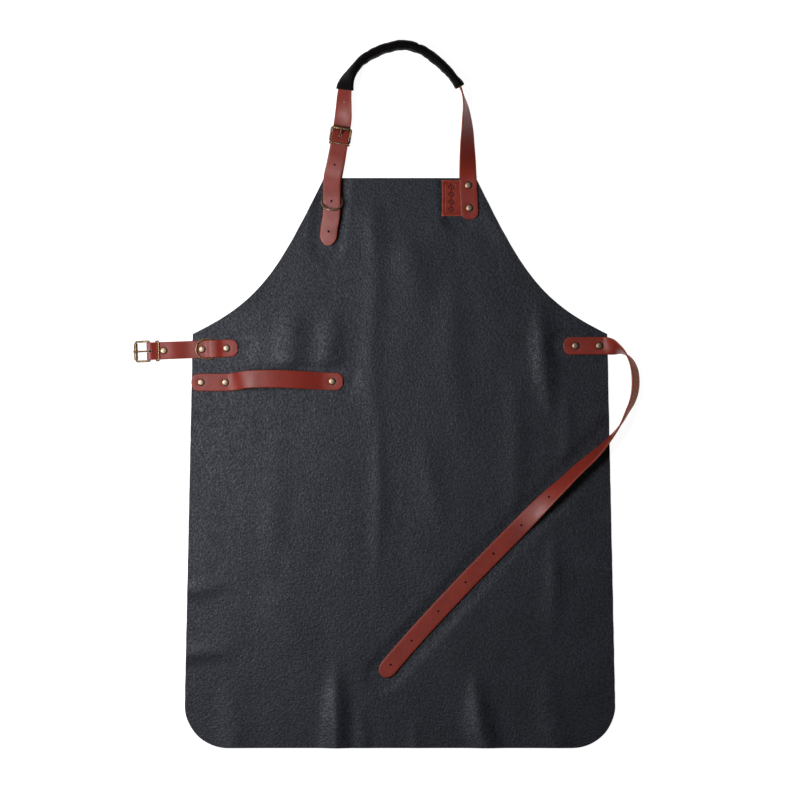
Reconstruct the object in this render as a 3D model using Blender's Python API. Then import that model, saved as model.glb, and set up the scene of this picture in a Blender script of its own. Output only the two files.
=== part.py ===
"""A leather smock apron lying flat: one hide panel with riveted straps, roller buckles, keepers,
D-rings, a neck sleeve, a towel loop and a label patch.

Metres. +Y runs towards the neck, +X to the right as the front is seen, and +Z comes out of the
front. The origin is the middle of the panel's underside, which lies at z = 0.
"""

import math

import bmesh
import bpy
from mathutils import Matrix, Vector

MM = 0.001
UP = Vector((0.0, 0.0, 1.0))

# The panel, cut from one hide
BIB_HALF_WIDTH = 0.106
WAIST_HALF_WIDTH = 0.289
HEM_HALF_WIDTH = 0.300
BIB_TOP_Y = 0.3975
WAIST_Y = 0.180
HEM_Y = -0.3975
HEM_CORNER_RADIUS = 0.060
PANEL_THICKNESS = 0.0014

# The straps
STRAP_WIDTH = 0.0244
STRAP_THICKNESS = 0.0026
STRAP_STEP = 0.0065
TIP_LENGTH = 0.016
TAB_END_LENGTH = 0.0100
HOLE_DIAMETER = 0.0032
DRILL_SIDES = 14

# The brass
FRAME_WIRE = 0.0022
FRAME_LENGTH = 0.0195
FRAME_HALF_WIDTH = 0.01375
FRAME_CORNER = 0.0017
ROLLER_DIAMETER = 0.0054
ROLLER_BORE = 0.0029
ROLLER_LENGTH = 0.0230
TONGUE_WIRE = 0.0020
KEEPER_WIRE = 0.0016
KEEPER_HALF_WIDTH = 0.0133
RING_WIRE = 0.0022
RING_HALF_WIDTH = 0.0140
RING_LEG = 0.0105
RIVET_DIAMETER = 0.0100
RIVET_DOME = 0.0018
RIVET_RIM = 0.0004
RIVET_POST = 0.0022
RIVET_TUBE = 0.0034
RIVET_BACK_DIAMETER = 0.0096
RIVET_BACK_THICKNESS = 0.0006
RIVET_FLOOR = 0.0002
RIVET_HOLE = 0.0040

# Room between pieces that touch
GAP = 0.0003

HALF_WIDTH = STRAP_WIDTH / 2
HALF_THICKNESS = STRAP_THICKNESS / 2
ON_PANEL = PANEL_THICKNESS + GAP + HALF_THICKNESS
PATCH_THICKNESS = 0.0012
PATCH_TOP = PANEL_THICKNESS + GAP + PATCH_THICKNESS

for leftover in list(bpy.data.objects):
    bpy.data.objects.remove(leftover, do_unlink=True)


def finish_of(name, colour, roughness, metallic=0.0):
    """A Principled material."""
    material = bpy.data.materials.new(name)
    material.use_nodes = True
    shader = material.node_tree.nodes["Principled BSDF"]
    shader.inputs["Base Color"].default_value = (*colour, 1.0)
    shader.inputs["Roughness"].default_value = roughness
    shader.inputs["Metallic"].default_value = metallic
    return material


BLACK_LEATHER = finish_of("black_leather", (0.035, 0.036, 0.042), 0.6)
RUSSET_LEATHER = finish_of("russet_leather", (0.22, 0.045, 0.034), 0.42)
SLEEVE_LEATHER = finish_of("sleeve_leather", (0.012, 0.011, 0.013), 0.5)
PATCH_LEATHER = finish_of("patch_leather", (0.14, 0.024, 0.016), 0.5)
ANTIQUE_BRASS = finish_of("antique_brass", (0.42, 0.28, 0.15), 0.35, 1.0)


# ---- Ways of making a solid ----------------------------------------------------------------------


def add_object(name, mesh, material):
    """A named object with its material."""
    mesh.materials.append(material)
    made = bpy.data.objects.new(name, mesh)
    bpy.context.scene.collection.objects.link(made)
    return made


def mesh_from(bm, name, smooth_angle=None):
    """The mesh of a closed bmesh, faces out, smooth up to an angle in degrees where one is given."""
    bmesh.ops.recalc_face_normals(bm, faces=bm.faces)
    mesh = bpy.data.meshes.new(name)
    bm.to_mesh(mesh)
    bm.free()
    if smooth_angle is not None:
        mesh.shade_smooth()
        mesh.set_sharp_from_angle(angle=math.radians(smooth_angle))
    return mesh


def plate(name, outline, bottom, top, material):
    """A flat plate: an outline in XY, raised from bottom to top."""
    bm = bmesh.new()
    face = bm.faces.new([bm.verts.new((x, y, bottom)) for x, y in outline])
    raised = bmesh.ops.extrude_face_region(bm, geom=[face])["geom"]
    corners = [item for item in raised if isinstance(item, bmesh.types.BMVert)]
    bmesh.ops.translate(bm, verts=corners, vec=(0.0, 0.0, top - bottom))
    return add_object(name, mesh_from(bm, name), material)


def turned(name, profile, segments, place, material):
    """A round piece: a profile of (radius, height) from pole to pole, turned about local Z."""
    bm = bmesh.new()
    points = [bm.verts.new((radius, 0.0, height)) for radius, height in profile]
    edges = [bm.edges.new(pair) for pair in zip(points, points[1:])]
    bmesh.ops.spin(
        bm, geom=points + edges, cent=(0, 0, 0), axis=(0, 0, 1), angle=math.tau,
        steps=segments, use_merge=True,
    )
    bmesh.ops.remove_doubles(bm, verts=bm.verts, dist=1e-6)
    made = add_object(name, mesh_from(bm, name, 40), material)
    made.matrix_world = place
    return made


def wire(name, points, thickness, closed, place, material, sides=2):
    """A bent round wire along points, closed into a ring or with filled ends."""
    curve = bpy.data.curves.new(name, "CURVE")
    curve.dimensions = "3D"
    curve.bevel_depth = thickness / 2
    curve.bevel_resolution = sides
    curve.use_fill_caps = not closed
    run = curve.splines.new("POLY")
    run.points.add(len(points) - 1)
    for point, where in zip(run.points, points):
        point.co = (*where, 1.0)
    run.use_cyclic_u = closed
    run.use_smooth = True
    made = add_object(name, curve, material)
    made.matrix_world = place
    return made


def arc(centre, radius, start, stop, steps):
    """Points of an arc in a plane, with its angles in degrees."""
    turn = math.radians(stop - start)
    return [
        (
            centre[0] + radius * math.cos(math.radians(start) + turn * k / steps),
            centre[1] + radius * math.sin(math.radians(start) + turn * k / steps),
        )
        for k in range(steps + 1)
    ]


def cut(piece, cutters):
    """Cuts holes with solids that are never seen themselves."""
    for cutter in cutters:
        cutter.hide_render = True
        cutter.display_type = "WIRE"
        hole = piece.modifiers.new("cut", "BOOLEAN")
        hole.operation = "DIFFERENCE"
        hole.object = cutter


def drill(name, spots):
    """One cutter of several round drills: (middle, direction, diameter, length)."""
    bm = bmesh.new()
    for middle, direction, diameter, length in spots:
        place = Matrix.Translation(middle) @ direction.to_track_quat("Z", "Y").to_matrix().to_4x4()
        bmesh.ops.create_cone(
            bm, cap_ends=True, segments=DRILL_SIDES, radius1=diameter / 2, radius2=diameter / 2,
            depth=length, matrix=place,
        )
    mesh = bpy.data.meshes.new(name)
    bm.to_mesh(mesh)
    bm.free()
    made = bpy.data.objects.new(name, mesh)
    bpy.context.scene.collection.objects.link(made)
    return made


def slot_cutter(name, start, stop, width, depth, place):
    """A cutter for a slot with round ends, from start to stop along local X."""
    outline = arc((stop, 0.0), width / 2, -90, 90, 6) + arc((start, 0.0), width / 2, 90, 270, 6)
    bm = bmesh.new()
    face = bm.faces.new([bm.verts.new((x, y, -depth / 2)) for x, y in outline])
    raised = bmesh.ops.extrude_face_region(bm, geom=[face])["geom"]
    corners = [item for item in raised if isinstance(item, bmesh.types.BMVert)]
    bmesh.ops.translate(bm, verts=corners, vec=(0.0, 0.0, depth))
    mesh = mesh_from(bm, name)
    made = bpy.data.objects.new(name, mesh)
    bpy.context.scene.collection.objects.link(made)
    made.matrix_world = place
    return made


# ---- Straps: a flat ribbon along a smooth route -----------------------------------------------------


class Route:
    """A smooth curve through points of (x, y, z, roll in degrees)."""

    def __init__(self, points):
        self.points = [Vector(point) for point in points]
        self.marks = [0.0]
        for before, after in zip(self.points, self.points[1:]):
            self.marks.append(self.marks[-1] + (after.xyz - before.xyz).length)
        self.length = self.marks[-1]
        self.slopes = [self.slope(index) for index in range(len(self.points))]

    def slope(self, index):
        """How fast the curve moves at one of its points."""
        last = len(self.points) - 1
        low, high = max(index - 1, 0), min(index + 1, last)
        sides = [
            ((self.points[b] - self.points[a]) / (self.marks[b] - self.marks[a]),
             self.marks[b] - self.marks[a])
            for a, b in ((low, index), (index, high)) if a != b
        ]
        if len(sides) == 1:
            return sides[0][0]
        (slope_before, run_before), (slope_after, run_after) = sides
        return (slope_before * run_after + slope_after * run_before) / (run_before + run_after)

    def at(self, distance):
        """The point and roll at a distance from the start."""
        distance = min(max(distance, 0.0), self.length)
        index = 0
        while index < len(self.points) - 2 and self.marks[index + 1] < distance:
            index += 1
        run = self.marks[index + 1] - self.marks[index]
        u = (distance - self.marks[index]) / run
        return (
            self.points[index] * (2 * u**3 - 3 * u**2 + 1)
            + self.slopes[index] * run * (u**3 - 2 * u**2 + u)
            + self.points[index + 1] * (3 * u**2 - 2 * u**3)
            + self.slopes[index + 1] * run * (u**3 - u**2)
        )

    def frame(self, distance):
        """The middle of the strap, the way towards its left edge, and the way out of its grain."""
        here = self.at(distance)
        ahead, behind = self.at(distance + 0.5 * MM), self.at(distance - 0.5 * MM)
        forward = (ahead.xyz - behind.xyz).normalized()
        left = UP.cross(forward).normalized()
        above = forward.cross(left)
        roll = math.radians(here.w)
        side = left * math.cos(roll) + above * math.sin(roll)
        return here.xyz, side, forward.cross(side)

    def nearest(self, x, y):
        """The distance along the route whose point comes nearest to (x, y)."""
        count = round(self.length / MM)
        marks = [self.length * k / count for k in range(count + 1)]
        return min(marks, key=lambda mark: (self.at(mark).xy - Vector((x, y))).length)


def end_shape(distance, length, power):
    """The share of its full width that a strap has at a distance from a rounded end."""
    if distance >= length:
        return 1.0
    share = max(distance / length, 0.01)
    return (1.0 - (1.0 - share) ** power) ** (1.0 / power)


def end_marks(length):
    """Distances from an end at which its rounding needs a section."""
    return [length * (1.0 - math.cos(math.radians(15 * k))) for k in range(7)]


def section_marks(length, first_end, last_end, step):
    """Where a strap of a length needs its sections, between two ends of (length, power)."""
    start, stop = first_end[0], length - last_end[0]
    count = max(1, round((stop - start) / step))
    middle = [start + (stop - start) * k / count for k in range(1, count)]
    return end_marks(first_end[0]) + middle + [length - mark for mark in reversed(end_marks(last_end[0]))]


def ribbon(name, sections, material):
    """A closed strap from sections of (middle, side, normal, half width)."""
    bm = bmesh.new()
    rings = []
    for middle, side, normal, half in sections:
        corners = ((1, -1), (1, 1), (-1, 1), (-1, -1))
        rings.append([
            bm.verts.new(middle + side * half * across + normal * HALF_THICKNESS * out)
            for across, out in corners
        ])
    for ring, following in zip(rings, rings[1:]):
        for k in range(4):
            bm.faces.new((ring[k], ring[k - 1], following[k - 1], following[k]))
    bm.faces.new(rings[0])
    bm.faces.new(list(reversed(rings[-1])))
    return add_object(name, mesh_from(bm, name, 40), material)


def route_sections(route, first_end, last_end, step=STRAP_STEP):
    """The sections of a strap along a route, with its two ends rounded."""
    sections = []
    for mark in section_marks(route.length, first_end, last_end, step):
        middle, side, normal = route.frame(mark)
        share = end_shape(mark, *first_end) * end_shape(route.length - mark, *last_end)
        sections.append((middle, side, normal, HALF_WIDTH * share))
    return sections


TAB_END = (TAB_END_LENGTH, 2.2)
STRAP_TIP = (TIP_LENGTH, 2.0)


def resting(x, y, floor, roll):
    """A route point in mm and degrees, from the height of the strap's lower edge."""
    height = floor * MM + HALF_WIDTH * math.sin(math.radians(roll))
    height += HALF_THICKNESS * abs(math.cos(math.radians(roll)))
    return (x * MM, y * MM, height, roll)


# ---- Rivets: a domed cap whose post enters the tube of a flat back cap ------------------------------


def rivet(name, x, y, bottom, top):
    """The two halves of a rivet through everything between bottom and top."""
    place = Matrix.Translation((x, y, 0.0))
    head, radius = top + GAP, RIVET_DIAMETER / 2
    rise = RIVET_DOME - RIVET_RIM
    dome = []
    for angle in map(math.radians, (0, 22, 45, 68)):
        dome.append((radius * math.cos(angle), head + RIVET_RIM + rise * math.sin(angle)))
    inside = bottom + RIVET_BACK_THICKNESS + RIVET_FLOOR
    cap = [(0.0, inside), (RIVET_POST / 2, inside), (RIVET_POST / 2, head), (radius, head)]
    turned(name + "_cap", cap + dome + [(0.0, head + RIVET_DOME)], 16, place, ANTIQUE_BRASS)
    disc, tube = RIVET_BACK_DIAMETER / 2, RIVET_TUBE / 2
    shoulder, rim = bottom + RIVET_BACK_THICKNESS, head - GAP
    back = [
        (0.0, bottom), (disc, bottom), (disc, shoulder), (tube, shoulder), (tube, rim),
        (RIVET_POST / 2 + GAP, rim), (RIVET_POST / 2 + GAP, shoulder - RIVET_FLOOR),
        (0.0, shoulder - RIVET_FLOOR),
    ]
    turned(name + "_back", back, 12, place, ANTIQUE_BRASS)


def rivet_holes(spots):
    """Drills for rivets at (x, y), right through a strap."""
    return [(Vector((x, y, 0.01)), UP, RIVET_HOLE, 0.04) for x, y in spots]


def back_recesses(spots, bottom):
    """Drills that let the back caps of rivets at (x, y) lie flush."""
    depth = RIVET_BACK_THICKNESS + GAP
    middle = bottom + depth - 0.005
    return [(Vector((x, y, middle)), UP, RIVET_BACK_DIAMETER + 2 * GAP, 0.010) for x, y in spots]


# ---- The panel --------------------------------------------------------------------------------------


def armhole():
    """The right armhole from the bib's corner to the waist's corner."""
    start, stop = Vector((BIB_HALF_WIDTH, BIB_TOP_Y)), Vector((WAIST_HALF_WIDTH, WAIST_Y))
    leaving = start + Vector((0.438, -0.899)) * 0.150
    arriving = stop - Vector((0.899, -0.438)) * 0.102
    steps = 16
    points = []
    for k in range(steps + 1):
        u = k / steps
        points.append(
            start * (1 - u) ** 3 + leaving * 3 * u * (1 - u) ** 2
            + arriving * 3 * u**2 * (1 - u) + stop * u**3
        )
    return [tuple(point) for point in points]


def panel_outline():
    """The whole outline, counterclockwise from the left end of the hem."""
    radius = HEM_CORNER_RADIUS
    centre = (HEM_HALF_WIDTH - radius, HEM_Y + radius)
    right = arc(centre, radius, -90, 0, 10) + list(reversed(armhole()))
    return right + [(-x, y) for x, y in reversed(right)]


TOWEL_RIVETS = ((-0.2775, 0.1125), (-0.2436, 0.1125), (-0.0948, 0.1138))
WAIST_RIVETS = ((0.2446, 0.1634), (0.2778, 0.1636))
NECK_RIGHT_RIVETS = ((0.0951, 0.3873), (0.0966, 0.3557))


# ---- A buckled tab: strap folded round the heel bar of a roller buckle, riveted behind it -----------


class Tab:
    """Where a buckle sits: local X runs from its heel bar along the tab, local Z is up."""

    def __init__(self, name, heel, heading, heel_height, tilt):
        self.name = name
        self.heading = math.radians(heading)
        self.heel_height = heel_height
        self.tilt = math.radians(tilt)
        turn = Matrix.Rotation(self.heading, 4, "Z")
        self.place = Matrix.Translation((*heel, heel_height)) @ turn
        self.along = (turn @ Vector((1.0, 0.0, 0.0))).xyz
        self.across = (turn @ Vector((0.0, 1.0, 0.0))).xyz
        # local X from the heel bar to the roller, in the plane of the tilted frame
        lean = Matrix.Rotation(math.pi, 4, "Z") @ Matrix.Rotation(-self.tilt, 4, "Y")
        self.frame_place = self.place @ lean

    def point(self, distance, height):
        """A point over the tab's middle line, at a height over the floor."""
        return self.place @ Vector((distance, 0.0, height - self.heel_height))


FOLD_RADIUS = FRAME_WIRE / 2 + 0.0005 + HALF_THICKNESS
FOLD_RIVET_AT = 0.0199
UNDER_LAYER_LENGTH = 0.028


def level(knots, distance):
    """A height that is level at each knot of (distance, height) and smooth between them."""
    if distance <= knots[0][0]:
        return knots[0][1]
    for (near, low), (far, high) in zip(knots, knots[1:]):
        if distance <= far:
            u = (distance - near) / (far - near)
            return low + (high - low) * u * u * (3 - 2 * u)
    return knots[-1][1]


def chape(tab, plan, knots, rivets):
    """The folded strap of a tab. Its plan is a list of (x, y) from the fold to the far end."""
    under = tab.heel_height - FOLD_RADIUS
    sections = []
    for k in range(5):
        distance = UNDER_LAYER_LENGTH * (1 - k / 5)
        sections.append((tab.point(distance, under), tab.across, -UP, HALF_WIDTH))
    steps = 10
    for k in range(steps + 1):
        angle = math.pi * k / steps
        out = -tab.along * math.sin(angle) - UP * math.cos(angle)
        sections.append((tab.point(0.0, tab.heel_height) + out * FOLD_RADIUS, tab.across, out, HALF_WIDTH))
    route = Route([(x, y, 0.0, 0.0) for x, y in plan])
    for mark in section_marks(route.length, (0.0, 1.0), TAB_END, 0.0032)[7:]:
        middle, side, normal = route.frame(mark)
        rise = level(knots, mark + 0.0002) - level(knots, mark - 0.0002)
        slope = (side.cross(UP) * 0.0004 + UP * rise).normalized()
        middle = Vector((middle.x, middle.y, level(knots, mark)))
        share = end_shape(route.length - mark, *TAB_END)
        sections.append((middle, side, slope.cross(side), HALF_WIDTH * share))
    piece = ribbon(tab.name + "_strap", sections, RUSSET_LEATHER)
    fold_spot = tab.point(FOLD_RIVET_AT, 0.0)
    spots = [(fold_spot.x, fold_spot.y), *rivets]
    holes = drill(tab.name + "_drills", rivet_holes(spots))
    recess = drill(tab.name + "_recess", back_recesses(spots[:1], under - HALF_THICKNESS))
    eye_slot = slot_cutter(tab.name + "_slot", -0.010, 0.0026, 0.0032, 0.030, tab.place)
    cut(piece, [holes, recess, eye_slot])
    top = level(knots, FOLD_RIVET_AT) + HALF_THICKNESS
    rivet(tab.name + "_fold_rivet", fold_spot.x, fold_spot.y, under - HALF_THICKNESS, top)
    return piece


def buckle_frame(tab):
    """A closed rectangle of wire with its heel bar in the fold and the roller at the other end."""
    corner, half, length = FRAME_CORNER, FRAME_HALF_WIDTH, FRAME_LENGTH
    outline = (
        arc((corner, -half + corner), corner, 180, 270, 3)
        + arc((length - corner, -half + corner), corner, 270, 360, 3)
        + arc((length - corner, half - corner), corner, 0, 90, 3)
        + arc((corner, half - corner), corner, 90, 180, 3)
    )
    points = [(x, y, 0.0) for x, y in outline]
    wire(tab.name + "_buckle_frame", points, FRAME_WIRE, True, tab.frame_place, ANTIQUE_BRASS)


def buckle_roller(tab):
    """A tube that turns on the frame's end bar."""
    outer, inner, half = ROLLER_DIAMETER / 2, ROLLER_BORE / 2, ROLLER_LENGTH / 2
    ring = [(inner, -half), (outer, -half), (outer, half), (inner, half), (inner, -half)]
    place = tab.frame_place @ Matrix.Translation((FRAME_LENGTH, 0, 0)) @ Matrix.Rotation(math.pi / 2, 4, "X")
    turned(tab.name + "_buckle_roller", ring, 20, place, ANTIQUE_BRASS)


def buckle_tongue(tab, run):
    """A wire bent into an eye round the heel bar, then along a run of (distance, height)."""
    eye = FRAME_WIRE / 2 + GAP + TONGUE_WIRE / 2
    path = arc((0.0, 0.0), eye, 335, 90, 14) + list(run)
    points = [(x, 0.0, z) for x, z in path]
    wire(tab.name + "_buckle_tongue", points, TONGUE_WIRE, False, tab.frame_place, ANTIQUE_BRASS)


def keeper(tab, bottom, top):
    """A wire loop round the strap, with its bottom and top bars at (distance, height)."""
    corner, steps = 0.0016, 3
    base, crown = tab.point(*bottom), tab.point(*top)
    rise = (crown - base)
    tall, upward = rise.length, rise.normalized()
    half = KEEPER_HALF_WIDTH
    outline = (
        arc((-half + corner, corner), corner, 180, 270, steps)
        + arc((half - corner, corner), corner, 270, 360, steps)
        + arc((half - corner, tall - corner), corner, 0, 90, steps)
        + arc((-half + corner, tall - corner), corner, 90, 180, steps)
    )
    points = [tuple(base + tab.across * x + upward * z) for x, z in outline]
    wire(tab.name + "_keeper", points, KEEPER_WIRE, True, Matrix.Identity(4), ANTIQUE_BRASS)


def d_ring(name, bar, heading, tilt):
    """A D of wire: a straight bar at the origin, with its bow along local X, tilted up by tilt."""
    corner = 0.0015
    half, leg = RING_HALF_WIDTH, RING_LEG
    outline = (
        arc((corner, -half + corner), corner, 180, 270, 3)
        + arc((leg, 0.0), half, -90, 90, 18)
        + arc((corner, half - corner), corner, 90, 180, 3)
    )
    place = (
        Matrix.Translation(bar) @ Matrix.Rotation(math.radians(heading), 4, "Z")
        @ Matrix.Rotation(math.radians(-tilt), 4, "Y")
    )
    points = [(x, y, 0.0) for x, y in outline]
    wire(name, points, RING_WIRE, True, place, ANTIQUE_BRASS)


RING_BAR_HEIGHT = PANEL_THICKNESS + GAP + RING_WIRE / 2
OVER_RING = RING_BAR_HEIGHT + RING_WIRE / 2 + 0.00035 + HALF_THICKNESS


# ---- The waist tab, on the left ------------------------------------------------------------------------

WAIST_HEEL_HEIGHT = 0.0064
waist = Tab("waist_tab", (-0.3491, 0.1559), 2.2, WAIST_HEEL_HEIGHT, -10.4)
WAIST_RING_AT = 0.0890
WAIST_TAB_LENGTH = 0.1233
waist_end = waist.point(WAIST_TAB_LENGTH, 0.0)
waist_spots = [waist.point(distance, 0.0) for distance in (0.0731, 0.1073)]
WAIST_TAB_RIVETS = [(spot.x, spot.y) for spot in waist_spots]
waist_lower = WAIST_HEEL_HEIGHT - FOLD_RADIUS + STRAP_THICKNESS + GAP
waist_knots = (
    (0.0, WAIST_HEEL_HEIGHT + FOLD_RADIUS), (0.0125, waist_lower), (0.0290, waist_lower),
    (0.0580, ON_PANEL), (0.0784, ON_PANEL), (WAIST_RING_AT - 0.003, OVER_RING),
    (WAIST_RING_AT + 0.003, OVER_RING), (0.1020, ON_PANEL), (0.1300, ON_PANEL),
)
waist_heel = waist.point(0.0, 0.0)
waist_middle = waist.point(WAIST_TAB_LENGTH / 2, 0.0)
chape(
    waist, [waist_heel.xy, waist_middle.xy, waist_end.xy], waist_knots, WAIST_TAB_RIVETS,
)
buckle_frame(waist)
buckle_roller(waist)
buckle_tongue(waist, [(0.006, 0.0028), (0.014, 0.0037), (FRAME_LENGTH, 0.00405), (0.0222, 0.0037)])
keeper(waist, (0.0088, 0.0011), (0.0129, 0.0091))
waist_bar = waist.point(WAIST_RING_AT, RING_BAR_HEIGHT)
d_ring("waist_d_ring", waist_bar, 182.2, 9.0)
for label, (x, y) in zip(("near", "far"), WAIST_TAB_RIVETS):
    rivet("waist_tab_rivet_" + label, x, y, 0.0, ON_PANEL + HALF_THICKNESS)


# ---- The neck tab, on the left of the bib ------------------------------------------------------------

NECK_HEEL_HEIGHT = 0.0082
neck = Tab("neck_tab", (-0.0843, 0.4474), -99.0, NECK_HEEL_HEIGHT, 14.0)
NECK_TAB_X = -0.0943
NECK_RING_Y = 0.3705
NECK_TAB_RIVETS = ((NECK_TAB_X, 0.3872), (NECK_TAB_X, 0.3530))
neck_under_end = neck.point(UNDER_LAYER_LENGTH, 0.0)
neck_heel = neck.point(0.0, 0.0)
neck_plan = [
    neck_heel.xy, neck.point(0.014, 0.0).xy, neck_under_end.xy, (-0.0910, 0.4080),
    (-0.0930, 0.3970), (-0.0941, 0.3860), (NECK_TAB_X, NECK_RING_Y), (NECK_TAB_X, 0.3390),
]
neck_route = Route([(x, y, 0.0, 0.0) for x, y in neck_plan])
edge_mark = neck_route.nearest(-0.0930, BIB_TOP_Y)
ring_mark = neck_route.nearest(NECK_TAB_X, NECK_RING_Y)
neck_lower = NECK_HEEL_HEIGHT - FOLD_RADIUS + STRAP_THICKNESS + GAP
neck_knots = (
    (0.0, NECK_HEEL_HEIGHT + FOLD_RADIUS), (0.0125, neck_lower), (0.0285, neck_lower),
    (edge_mark - 0.002, ON_PANEL), (ring_mark - 0.0115, ON_PANEL), (ring_mark - 0.003, OVER_RING),
    (ring_mark + 0.003, OVER_RING), (ring_mark + 0.0120, ON_PANEL), (0.1300, ON_PANEL),
)
chape(neck, neck_plan, neck_knots, NECK_TAB_RIVETS)
buckle_frame(neck)
buckle_roller(neck)
buckle_tongue(neck, [
    (0.0040, 0.0020), (0.0080, 0.0022), (0.0120, 0.0034), (FRAME_LENGTH, 0.00410), (0.0222, 0.0036),
])
keeper(neck, (0.0032, 0.0029), (0.0026, 0.0165))
d_ring("neck_d_ring", (-0.0946, NECK_RING_Y, RING_BAR_HEIGHT), -91.0, 41.0)
for label, (x, y) in zip(("near", "far"), NECK_TAB_RIVETS):
    rivet("neck_tab_rivet_" + label, x, y, 0.0, ON_PANEL + HALF_THICKNESS)


# ---- The neck strap: riveted on the right, through the sleeve, buckled on the left -------------------

neck_axis = [neck.point(distance, 0.0) / MM for distance in (-0.030, -0.0189, -0.0095, 0.0, 0.0060)]
NECK_ROUTE = [
    resting(97.5, 339.7, 3.2, 0), resting(96.8, 355.7, 3.2, 0), resting(96.0, 372.5, 3.2, 0),
    resting(95.1, 387.3, 3.2, 0), resting(95.0, 393.4, 3.2, 0), resting(94.6, 401.0, 2.8, 7),
    resting(94.4, 410.0, 1.7, 15), resting(94.2, 422.7, 0.6, 22), resting(93.9, 436.0, 0.3, 31),
    resting(93.7, 448.0, 0.3, 38), resting(93.7, 461.7, 0.5, 47), resting(92.8, 478.5, 1.2, 59),
    resting(91.4, 495.2, 2.4, 73), resting(88.2, 510.6, 3.6, 86), resting(84.4, 522.2, 4.1, 90),
    resting(76.7, 533.6, 4.1, 90), resting(67.0, 545.4, 4.1, 90), resting(48.8, 562.2, 4.1, 90),
    resting(27.9, 576.1, 4.1, 90), resting(4.2, 581.7, 4.1, 90), resting(-20.9, 576.8, 4.1, 90),
    resting(-39.1, 569.2, 4.1, 90), resting(-55.8, 557.3, 4.1, 88), resting(-67.7, 542.7, 4.3, 74),
    resting(-75.6, 526.0, 4.8, 46), resting(-77.6, 510.6, 5.2, 36), resting(-78.4, 493.8, 5.2, 25),
    resting(neck_axis[0].x, neck_axis[0].y, 6.2, 8), resting(neck_axis[1].x, neck_axis[1].y, 7.25, 0),
    resting(neck_axis[2].x, neck_axis[2].y, 10.1, 0), resting(neck_axis[3].x, neck_axis[3].y, 12.9, 0),
    resting(neck_axis[4].x, neck_axis[4].y, 12.8, 0), resting(-86.6, 434.0, 12.5, 0),
    resting(-88.5, 424.5, 12.1, 0), resting(-91.0, 413.0, 8.9, 4), resting(-93.8, 401.5, 6.2, 7),
    resting(-95.0, 390.0, 6.3, 7), resting(-95.1, 370.5, 7.3, 7), resting(-95.2, 353.0, 5.9, 7),
    resting(-96.2, 341.0, 4.9, 8), resting(-98.8, 327.0, 3.4, 8), resting(-100.0, 314.0, 2.4, 8),
    resting(-100.8, 303.0, 2.0, 8),
]
neck_line = Route(NECK_ROUTE)
neck_strap = ribbon("neck_strap", route_sections(neck_line, TAB_END, STRAP_TIP), RUSSET_LEATHER)
NECK_HOLES_FROM_TIP = (0.020, 0.0625, 0.1140, 0.2035)
hole_drills = []
for distance in NECK_HOLES_FROM_TIP:
    middle, side, normal = neck_line.frame(neck_line.length - distance)
    hole_drills.append((middle, normal, HOLE_DIAMETER, 0.008))
tongue_mark = neck_line.nearest(*neck.point(-0.0085, 0.0).xy)
middle, side, normal = neck_line.frame(tongue_mark)
forward = side.cross(normal)
tongue_place = Matrix.Translation(middle) @ Matrix((forward, side, normal)).transposed().to_4x4()
tongue_slot = slot_cutter("neck_tongue_slot", -0.0042, 0.0036, 0.0030, 0.009, tongue_place)
cut(neck_strap, [
    drill("neck_strap_drills", hole_drills + rivet_holes(NECK_RIGHT_RIVETS)), tongue_slot,
])
for label, (x, y) in zip(("upper", "lower"), NECK_RIGHT_RIVETS):
    rivet("neck_strap_rivet_" + label, x, y, 0.0, PATCH_TOP + GAP + STRAP_THICKNESS)


# ---- The neck sleeve: a padded leather tube that the neck strap runs through -------------------------


def oval(half_height, half_thickness, count, power):
    """A rounded section of (across, out), squarer as the power grows."""
    points = []
    for k in range(count):
        angle = math.tau * (k + 0.5) / count
        c, s = math.cos(angle), math.sin(angle)
        points.append((
            half_height * math.copysign(abs(c) ** (2 / power), c),
            half_thickness * math.copysign(abs(s) ** (2 / power), s),
        ))
    return points


SLEEVE_HALF = 0.0146
BORE_HALF = 0.0132
BORE_HALF_THICKNESS = 0.0022
SLEEVE_SIDES = 16


def sleeve():
    """A tube with a flat bore, along the middle stretch of the neck strap."""
    start, stop = neck_line.nearest(0.0837, 0.5235), neck_line.nearest(-0.0775, 0.5200)
    marks = [
        mark for mark in section_marks(neck_line.length, TAB_END, STRAP_TIP, STRAP_STEP)
        if start < mark < stop
    ]
    bm = bmesh.new()
    outer_rings, inner_rings = [], []
    for mark in marks:
        middle, side, normal = neck_line.frame(mark)
        u = (mark - marks[0]) / (marks[-1] - marks[0])
        swell = math.sin(math.pi * u) ** 0.5
        outer = oval(SLEEVE_HALF + 0.0014 * swell, 0.0046 + 0.0018 * swell, SLEEVE_SIDES, 2.6)
        inner = oval(BORE_HALF, BORE_HALF_THICKNESS, SLEEVE_SIDES, 5.0)
        for rings, section in ((outer_rings, outer), (inner_rings, inner)):
            rings.append([bm.verts.new(middle + side * a + normal * b) for a, b in section])
    for rings in (outer_rings, inner_rings):
        for ring, following in zip(rings, rings[1:]):
            for k in range(len(ring)):
                bm.faces.new((ring[k], ring[k - 1], following[k - 1], following[k]))
    for end in (0, -1):
        for k in range(len(outer_rings[0])):
            outer, inner = outer_rings[end], inner_rings[end]
            bm.faces.new((outer[k], outer[k - 1], inner[k - 1], inner[k]))
    return add_object("neck_sleeve", mesh_from(bm, "neck_sleeve", 60), SLEEVE_LEATHER)


sleeve()


# ---- The waist strap: riveted on the right, looped back over the panel --------------------------------

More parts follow.
